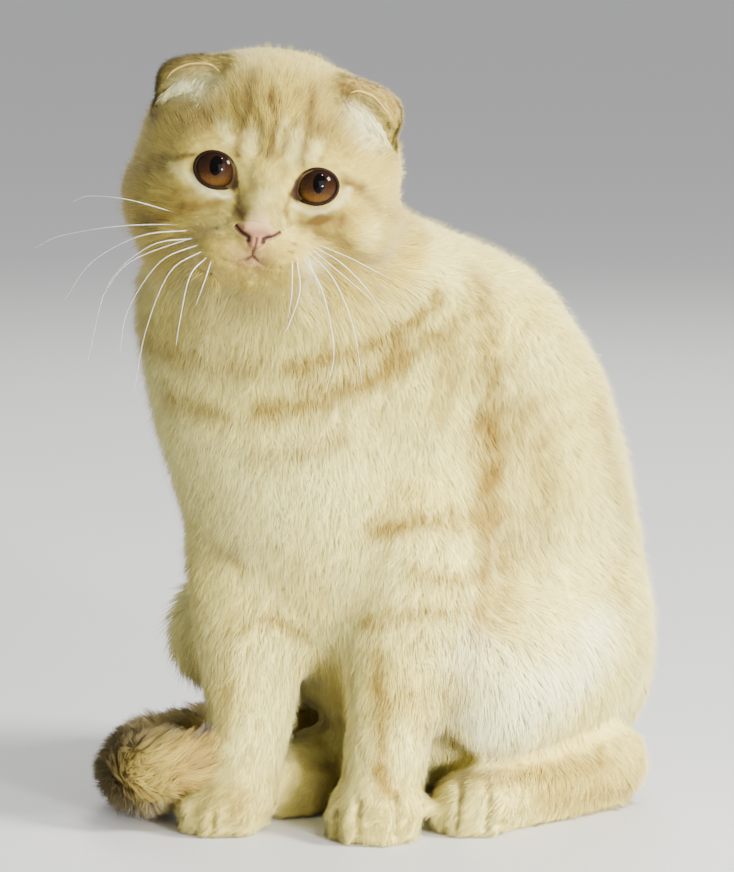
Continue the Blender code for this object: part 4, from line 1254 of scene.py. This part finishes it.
flat_points = []
for down in np.arange(NOSE_ROWS + 1) / NOSE_ROWS:
    z = NOSE_TOP + (NOSE_FOOT - NOSE_TOP) * down
    half = float(down_nose(z)[1])
    for across in -1 + 2 * np.arange(NOSE_COLUMNS + 1) / NOSE_COLUMNS:
        edge = (1 - abs(across) ** 4.0) * min(1.0, 6 * down, 5 * (1 - down) + 0.15)
        x = half * across
        y = face_depth(x, z) - 0.0012 * edge + 0.0003 * (1 - edge)
        flat_points.append(Vector((x, y, z)))
flat_points = np.array(flat_points)
aside, height = np.abs(flat_points[:, 0]), flat_points[:, 2]
to_nostril = near_line(np.stack((aside, height), axis=1), NOSTRIL)
to_nostril *= 0.9 + 0.5 * ramp(aside, 0.0040, 0.0080)
to_groove = aside + 10 * (height > GROOVE_TOP)
flat_points[:, 1] += NOSTRIL_DEPTH * bell(to_nostril, NOSTRIL_WIDTH)
flat_points[:, 1] += GROOVE_DEPTH * bell(to_groove, GROOVE_WIDTH)
to_wing = np.hypot((aside - 0.0058) / 0.0026, (height + 0.0150) / 0.0016)
flat_points[:, 1] -= WING_RISE * bell(to_wing, 1.0)

nose_form = bmesh.new()
verts = [nose_form.verts.new(Vector(spot)) for spot in flat_points]
back = [nose_form.verts.new(vert.co + Vector((0, NOSE_THICKNESS, 0))) for vert in verts]
stride = NOSE_COLUMNS + 1
for side, steps in ((verts, (0, stride, stride + 1, 1)), (back, (0, 1, stride + 1, stride))):
    for row in range(NOSE_ROWS):
        for first in range(row * stride, row * stride + NOSE_COLUMNS):
            nose_form.faces.new([side[first + step] for step in steps])
bmesh.ops.bridge_loops(nose_form, edges=[edge for edge in nose_form.edges if edge.is_boundary])
bmesh.ops.recalc_face_normals(nose_form, faces=nose_form.faces[:])
nose_form.transform(Matrix.Translation(head_middle) @ head_turned.to_4x4())
nose = piece_from("nose_leather", nose_form)
nose.data.shade_smooth()

# The nostrils and the groove down the middle are painted near-black, as painted shade in their
# openings
dark = np.exp(-((to_nostril / NOSTRIL_WIDTH) ** 4)) + bell(to_groove, GROOVE_WIDTH) * 0.5
below = ramp(aside, 0.0030, 0.0042) * ramp(height, -0.0182, -0.0195)
nose_colour = np.tile(LEATHER, (len(flat_points), 1))
nose_colour = blend(nose_colour, LEATHER_TOP, 0.90 * ramp(height, -0.0165, -0.0130))
nose_colour = blend(nose_colour, LEATHER_FOOT, below)
nose_colour = blend(nose_colour, NOSTRIL_AND_GROOVE_SHADE, np.clip(dark, 0, 0.97))
paint(nose.data, np.vstack((nose_colour, nose_colour)))
nose.data.materials.append(coat_finish("nose_leather", 0.42, 0.0, 0.88, 1600.0))
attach(nose, "root")
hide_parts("nose")

# ---- The coat
# Plush short fur in fine tufts that taper, overlap and lie along the body, longest on the bib
# and thighs and shortest round the eyes, on the muzzle and on the toes.
COAT_SEED = 40
BODY_TUFTS = 135000
GUARD_TUFTS = 36000
HEAD_TUFTS = 92000
FOOT_TUFTS = 34000
MOST_TUFTS = 45000  # in one piece
TUFTS_PER_LOCK = 14
ROUNDING = 0.7  # how far a tuft's shading turns away from the skin's
ROOT_SINK = 0.0006
LOWEST_TUFT = 0.0003
PATCH_HALF = 0.0015  # of each tuft's patch in the bake map
MAP_EDGE = 0.01
MAP_SPAN = 0.975
GUARD_SHARES = (1.6, 1.35, 0.60)  # of the coat's depth, length and width
LEAST_GUARDS = 300
# A straight tuft and one with a bend: its faces, its bake patch, its painted shade (darker at the
# root, lighter at the tip) and the share of the way from root to tip at each corner
STRAIGHT = (
    ((0, 1, 3), (1, 2, 3), (2, 0, 3), (0, 2, 1)),
    ((-1, 0), (1, 0), (0, 0.3), (0, 2)),
    (0.80, 0.80, 0.80, 1.10),
    (0.0, 0.0, 0.0, 1.0),
)
BENT = (
    (
        (0, 1, 4), (0, 4, 3), (1, 2, 5), (1, 5, 4), (2, 0, 3),
        (2, 3, 5), (3, 4, 6), (4, 5, 6), (5, 3, 6), (0, 2, 1),
    ),
    ((-1, 0), (1, 0), (0, 0.3), (-0.8, 1), (0.8, 1), (0, 1.2), (0, 2)),
    (0.78, 0.78, 0.78, 0.98, 0.98, 0.98, 1.10),
    (0.0, 0.0, 0.0, 0.5, 0.5, 0.5, 1.0),
)


def surface_samples(mesh, count, density, seed):
    """Random places on a mesh, more where density is higher, and the normals there."""
    draw = np.random.default_rng(seed)
    mesh.calc_loop_triangles()
    corners = np.empty(len(mesh.loop_triangles) * 3, np.int32)
    mesh.loop_triangles.foreach_get("vertices", corners)
    corners = corners.reshape(-1, 3)
    points, normals = points_of(mesh), normals_of(mesh)
    a, b, c = (points[corners[:, number]] for number in range(3))
    area = np.linalg.norm(np.cross(b - a, c - a), axis=1) / 2
    weight = area * density((a + b + c) / 3)
    pick = draw.choice(len(corners), size=count, p=weight / weight.sum())
    r1, r2 = np.sqrt(draw.random(count)), draw.random(count)
    shares = np.stack((1 - r1, r1 * (1 - r2), r1 * r2), axis=1)[:, :, None]
    place, normal = ((rows[corners[pick]] * shares).sum(axis=1) for rows in (points, normals))
    return place, unit(normal)


def leaning(lie, up, lift):
    """Directions along the lie, lifted by an angle."""
    return lie * np.cos(lift)[:, None] + up * np.sin(lift)[:, None]


def make_tufts(
    name, root, up, lie, length, width, rise, colour, seed, bent=False, gather=0.3, unwrap_axis=2
):
    """Tapered three-sided tufts, from their roots in the skin to tips that gather in locks."""
    draw = np.random.default_rng(seed)
    count = len(root)
    lie = unit(lie - (lie * up).sum(axis=1, keepdims=True) * up)
    lie = unit(lie + np.cross(up, lie) * draw.normal(0, 0.20, (count, 1)))
    side = np.cross(up, lie)
    length = length * draw.uniform(0.78, 1.18, count)
    rise = rise * draw.uniform(0.75, 1.12, count)
    base = root - up * ROOT_SINK
    if bent:
        lift = np.clip(rise / (0.62 * length), 0.02, 1.1)
        bend = base + leaning(lie, up, lift) * (length * 0.45)[:, None]
        tip = bend + leaning(lie, up, lift * 0.3) * (length * 0.55)[:, None]
    else:
        lift = np.arcsin(np.clip(rise / length, 0.02, 0.9))
        tip = base + lie * (np.cos(lift) * length)[:, None] + up * (np.sin(lift) * length)[:, None]
    locks = draw.choice(count, size=max(1, count // TUFTS_PER_LOCK), replace=False)
    lock = nearest_of(root[locks], root)
    towards = tip[locks][lock] - tip
    limit = 0.4 * length / np.maximum(np.linalg.norm(towards, axis=1), 1e-9)
    tip = tip + towards * np.minimum(gather, limit)[:, None]

    half = (width * 0.5)[:, None]
    ring = [base - side * half, base + side * half, base + up * half * 0.9]
    turned = [unit(up - side * ROUNDING), unit(up + side * ROUNDING), up]
    if bent:
        ring += [bend - side * half * 0.85, bend + side * half * 0.85, bend + up * half * 0.8]
        turned += turned
    faces, patch, root_to_tip_shade, along = (np.array(rows) for rows in (BENT if bent else STRAIGHT))
    points = np.stack(ring + [tip], axis=1)
    facing = np.stack(turned + [unit(up + lie * 0.4)], axis=1)
    points[:, :, 2] = np.maximum(points[:, :, 2], LOWEST_TUFT)
    corners = points.shape[1]
    loops = (np.arange(count)[:, None] * corners + faces.reshape(1, -1)).ravel().astype(np.int32)
    mesh = bpy.data.meshes.new(name)
    mesh.vertices.add(count * corners)
    mesh.vertices.foreach_set("co", points.astype(np.float32).ravel())
    mesh.loops.add(len(loops))
    mesh.loops.foreach_set("vertex_index", loops)
    mesh.polygons.add(len(loops) // 3)
    mesh.polygons.foreach_set("loop_start", np.arange(0, len(loops), 3, dtype=np.int32))
    mesh.polygons.foreach_set("loop_total", np.full(len(loops) // 3, 3, np.int32))
    mesh.update(calc_edges=True)
    mesh.shade_smooth()
    mesh.normals_split_custom_set_from_vertices(facing.reshape(-1, 3).astype(np.float32))

    tone = draw.normal(1.0, 0.08, (count, 1)) + draw.normal(0.0, 0.055, len(locks))[lock][:, None]
    warm = draw.normal(0.0, 0.03, (count, 1)) * np.array((1.0, 0.3, -1.2))
    ends = colour if colour.ndim == 3 else np.stack((colour, colour), axis=1)
    along = along[None, :, None]
    own = ends[:, :1] * (1 - along) + ends[:, 1:] * along
    # The tufts are painted darker at the root and lighter at the tip, as painted shade among them
    shades = np.clip(own * (tone + warm)[:, None, :] * root_to_tip_shade[None, :, None], 0, 0.94)
    paint(mesh, shades.reshape(-1, 3))

    # Each tuft's patch of the bake map lies at its root, on the skin unrolled round its axis
    middle = (root.max(axis=0) + root.min(axis=0)) / 2
    first, second = [axis for axis in range(3) if axis != unwrap_axis]
    around = np.arctan2(root[:, second] - middle[second], root[:, first] - middle[first])
    height = root[:, unwrap_axis] - root[:, unwrap_axis].min()
    u = MAP_EDGE + MAP_SPAN * (around + math.pi) / (2 * math.pi)
    v = MAP_EDGE + MAP_SPAN * height / max(height.max(), 1e-6)
    spots = np.stack((u, v), axis=1)[:, None, :] + patch[None] * PATCH_HALF
    bake_map = mesh.uv_layers.new(name="OFBake")
    bake_map.data.foreach_set("uv", spots.reshape(-1, 2)[loops].astype(np.float32).ravel())
    return placed_in_scene(name, mesh)


def bare(points):
    """True where no fur grows: on the lids' rims, the nose leather and the lips."""
    local = in_head(points)
    naked = (near_lips(local) < LIP_WIDTH) & (local[:, 1] < FACE_FRONT)
    for eye_side in (-1, 1):
        share, gap = round_eye(points, eye_side)
        naked |= (share < 1.09) & (gap < 0.018)
    down, half = down_nose(local[:, 2])
    on_nose = (down > -0.02) & (down < 1.0) & (np.abs(local[:, 0]) < half)
    return naked | (on_nose & (local[:, 1] < -0.03))


def body_density(points):
    length = coat_at(points)[1]
    return (1 - head_share(points)) * ramp(length, 0.003, 0.007) + 0.02


def head_density(points):
    length = coat_at(points)[1]
    return head_share(points) * np.clip((0.010 / length) ** 1.1, 0.8, 4.5)


def foot_density(points):
    length = coat_at(points)[1]
    short = ramp(length, 0.007, 0.0035) * np.clip(0.006 / length, 0.5, 2.5)
    return (1 - head_share(points)) * short


def fitted(place):
    """Depth, length, width and lie of the tufts, and their colour where they are seen."""
    depth, length, lie = coat_at(place)
    lie = unit(lie + 0.22 * swirl_of(place, 0.030, 50) + 0.20 * swirl_of(place, 0.011, 53))
    shown = [markings(place + lie * (share * length)[:, None]) for share in (0.25, 0.85)]
    shade = 1 + 0.05 * noise(place, 0.006, 60) + 0.04 * noise(place, 0.018, 61)
    colour = np.stack(shown, axis=1) * shade[:, None, None]
    return depth, length, 0.00026 + 0.024 * length, lie, colour


# The coat is cut into pieces by the parts of the body: each root goes with the part of the body
# that it is nearest to
places = [points_of(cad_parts[name].data)[::6] for name in FLESH]
owners = np.repeat(FLESH, [len(spots) for spots in places])
places = np.vstack(places)

fur = coat_finish("fur", 0.75, 0.20, 0.94, 1500.0)
SETS = (
    ("coat", ((BODY_TUFTS, body_density), (HEAD_TUFTS, head_density), (FOOT_TUFTS, foot_density))),
    ("guard", ((GUARD_TUFTS, body_density), (GUARD_TUFTS // 4, head_density))),
)
for set_number, (title, parts) in enumerate(SETS):
    roots, ups = [], []
    for number, (count, density) in enumerate(parts):
        seed = COAT_SEED + 10 * set_number + number
        place, normal = surface_samples(skin.data, count, density, seed)
        keep = ~bare(place)
        roots.append(place[keep])
        ups.append(normal[keep])
    roots, ups = np.vstack(roots), np.vstack(ups)
    depth, length, width, lie, colour = fitted(roots)
    if title == "guard":
        sizes = zip(GUARD_SHARES, (depth, length, width))
        depth, length, width = (share * size for share, size in sizes)
    home = owners[nearest_of(places, roots)]
    for number, name in enumerate(FLESH):
        mine = np.flatnonzero(home == name)
        if not len(mine) or (title == "guard" and len(mine) < LEAST_GUARDS):
            continue
        mine = mine[np.argsort(roots[mine, 2])]
        shares = np.array_split(mine, int(math.ceil(len(mine) / MOST_TUFTS)))
        for part, chosen in enumerate(shares):
            rows = (roots, ups, lie, length, width, depth, colour)
            coat = make_tufts(
                f"{title}_{name}" if len(shares) == 1 else f"{title}_{name}_{part + 1}",
                *(values[chosen] for values in rows),
                seed=100 * (set_number + 1) + number * 10 + part,
                unwrap_axis=1 if name.startswith("hind_foot") else 2,
            )
            coat.data.materials.append(fur)
            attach(coat, "root")

# The tail's fur is longer, and gathers in pointed locks with partings between them
TAIL_TUFTS = 47000
TAIL_LENGTH = 0.0145
TAIL_WIDTH = 0.00058
TAIL_RISE = 0.0072
TAIL_SWIRL = 0.75
TAIL_TONE_REACH = 0.0070  # how far along a tuft its colour is taken
TAIL_SEED = 77
place, normal = surface_samples(tail_skin.data, TAIL_TUFTS, lambda at: np.ones(len(at)), TAIL_SEED)
ahead = along_run(tail_run)[nearest_of(tail_run, place)]
tail_lie = unit(unit(ahead) + TAIL_SWIRL * swirl_of(place, 0.022, 80))
tail_colour = tail_markings(place + tail_lie * TAIL_TONE_REACH)
sizes = (np.full(len(place), size) for size in (TAIL_LENGTH, TAIL_WIDTH, TAIL_RISE))
tail_coat = make_tufts(
    "coat_tail", place, normal, tail_lie, *sizes, tail_colour, TAIL_SEED + 1,
    gather=0.5, unwrap_axis=1,
)
tail_coat.data.materials.append(fur)
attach(tail_coat, "root")

# ---- The ears' trimmings
# Small ears folded flat: a thin pale rim arches across each, and soft whitish hair spills out
# from under the fold and curls towards the cheek.
EAR_RIMS = {
    "right": (
        (166.9, 78.5), (171, 73), (177.7, 68.4), (190.6, 64.1), (206.8, 64.1), (214, 67),
        (219.7, 72),
    ),
    "left": (
        (350.9, 92.7), (358.8, 91.2), (372.3, 96.1), (381.3, 105.1), (389.2, 115.2), (393, 121),
    ),
}
EAR_FLUFF = {  # where the hairs start, and how far they reach across the picture
    "right": (((176, 80), (190, 76), (206, 77), (214, 84)), (-13.0, 17.0)),
    "left": (((350, 104), (360, 103), (370, 110), (378, 122)), (7.0, 21.0)),
}
RIM_RADIUS = 0.0005
RIM_LIFT = 0.0012
FLUFF_HAIRS = 420
FLUFF_SIZES = (0.0085, 0.00042, 0.0030)  # length, width and rise
ear_rim = plain_finish("ear_rim", (0.62, 0.44, 0.14), 0.8)
fluff_draw = np.random.default_rng(7)
for name, pixels in EAR_RIMS.items():
    knots = [(seen_at(pixel) - sight(pixel) * RIM_LIFT, 0.0) for pixel in pixels]
    run = smooth_route(knots, 5)[:, :3]
    thin = np.sin(np.linspace(0.12, math.pi - 0.12, len(run))) ** 0.5
    rim = tube(f"ear_rim_{name}", [tuple(spot) for spot in run], RIM_RADIUS, sides=8, taper=thin)
    rim.data.shade_smooth()
    rim.data.materials.append(ear_rim)
    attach(rim, "root")

    starts, reach = EAR_FLUFF[name]
    starts = np.array(starts)
    share = fluff_draw.uniform(0, len(starts) - 1.001, FLUFF_HAIRS)
    first = share.astype(int)
    pixel = starts[first] + (starts[first + 1] - starts[first]) * (share - first)[:, None]
    pixel = pixel + np.array(reach) * fluff_draw.uniform(0.0, 0.8, (FLUFF_HAIRS, 1))
    roots, ups, lies = [], [], []
    for spot in pixel:
        here, facing = skin_surface.ray_cast(camera.location, sight(spot))[:2]
        there = skin_surface.ray_cast(camera.location, sight(spot + np.array(reach) * 0.5))[0]
        if here is not None and there is not None:
            roots.append(here)
            ups.append(facing)
            lies.append((there - here).normalized())
    roots, ups, lies = np.array(roots), np.array(ups), np.array(lies)
    ups = unit(ups - np.array(sight(pixel.mean(axis=0))))
    count = len(roots)
    shade = (0.15 * CREAM + 0.85 * WHITE) * fluff_draw.uniform(0.62, 1.04, (count, 1))
    sizes = (np.full(count, size) for size in FLUFF_SIZES)
    fluff = make_tufts(
        f"ear_fluff_{name}", roots, ups, lies, *sizes, shade, 91, bent=True, gather=0.65
    )
    fluff.data.materials.append(fur)
    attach(fluff, "root")

# ---- The whiskers
# Long white bristles from the pads beside the nose, in rows, stiff at the root, tapered and
# bowed by their own weight.
WHISKERS = (
    ((190, 224), (120, 226), (60, 236), (35, 248)),
    ((192, 230), (140, 236), (92, 262), (65, 300)),
    ((196, 238), (150, 246), (108, 285), (88, 360)),
    ((200, 244), (160, 262), (128, 310), (120, 352)),
    ((204, 250), (170, 272), (146, 330), (134, 392)),
    ((208, 256), (190, 276), (180, 320), (176, 345)),
    ((212, 258), (205, 280), (196, 305)),
    ((186, 216), (130, 200), (90, 196), (72, 202)),
    ((196, 236), (130, 262), (100, 300)),
    ((312, 246), (340, 262), (366, 288), (382, 312)),
    ((306, 250), (334, 280), (354, 330), (362, 384)),
    ((300, 254), (322, 290), (334, 350), (326, 392)),
    ((296, 256), (300, 290), (290, 322), (284, 334)),
    ((292, 256), (292, 290), (288, 318)),
    ((304, 250), (316, 280), (322, 306)),
    ((310, 248), (344, 276), (372, 300)),
    ((316, 244), (350, 258), (392, 280)),
)
WHISKER_RADIUS = 0.00026
WHISKER_SINK = 0.0015
WHISKER_FORWARD = 0.006  # how far before the pads they hang
WHISKER_LIMIT = cad_box[0][1] - 0.006  # they sweep back rather than reach further forward
whisker_finish = plain_finish("whisker", (0.82, 0.80, 0.74), 0.35)
whisker_form = bmesh.new()
for pixels in WHISKERS:
    root = seen_at(pixels[0])
    if root is None:
        continue
    near = (root - camera.location).length
    knots = [(root + sight(pixels[0]) * WHISKER_SINK, 0.0)]
    for pixel in pixels[1:]:
        spot = camera.location + sight(pixel) * (near - WHISKER_FORWARD)
        past = max(0.0, WHISKER_LIMIT - spot.y)
        knots.append((spot + sight(pixel) * (past / sight(pixel).y), 0.0))
    run = smooth_route(knots, 6)[:, :3]
    thin = np.linspace(1.0, 0.12, len(run)) ** 0.8
    hair = tube("hair", [tuple(spot) for spot in run], WHISKER_RADIUS, sides=6, taper=thin)
    whisker_form.from_mesh(hair.data)
    bpy.data.objects.remove(hair)
whiskers = piece_from("whiskers", whisker_form)
whiskers.data.shade_smooth()
whiskers.data.materials.append(whisker_finish)
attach(whiskers, "root")

# Under the coat the skin is thinned, to keep the piece under its limit of triangles; the
# face, whose folds show, gives up the least
SKIN_TRIANGLES = 196000
thinned = skin.vertex_groups.new(name="thinned")
hidden = head_share(points_of(skin.data)) < 0.5
thinned.add([int(number) for number in np.flatnonzero(hidden)], 1.0, "REPLACE")
thinning = skin.modifiers.new("thinning", "DECIMATE")
thinning.ratio = SKIN_TRIANGLES / sum(len(face.vertices) - 2 for face in skin.data.polygons)
thinning.vertex_group = "thinned"
thinning.vertex_group_factor = 4.0
with bpy.context.temp_override(object=skin, active_object=skin, selected_objects=[skin]):
    bpy.ops.object.modifier_apply(modifier=thinning.name)
skin.vertex_groups.clear()
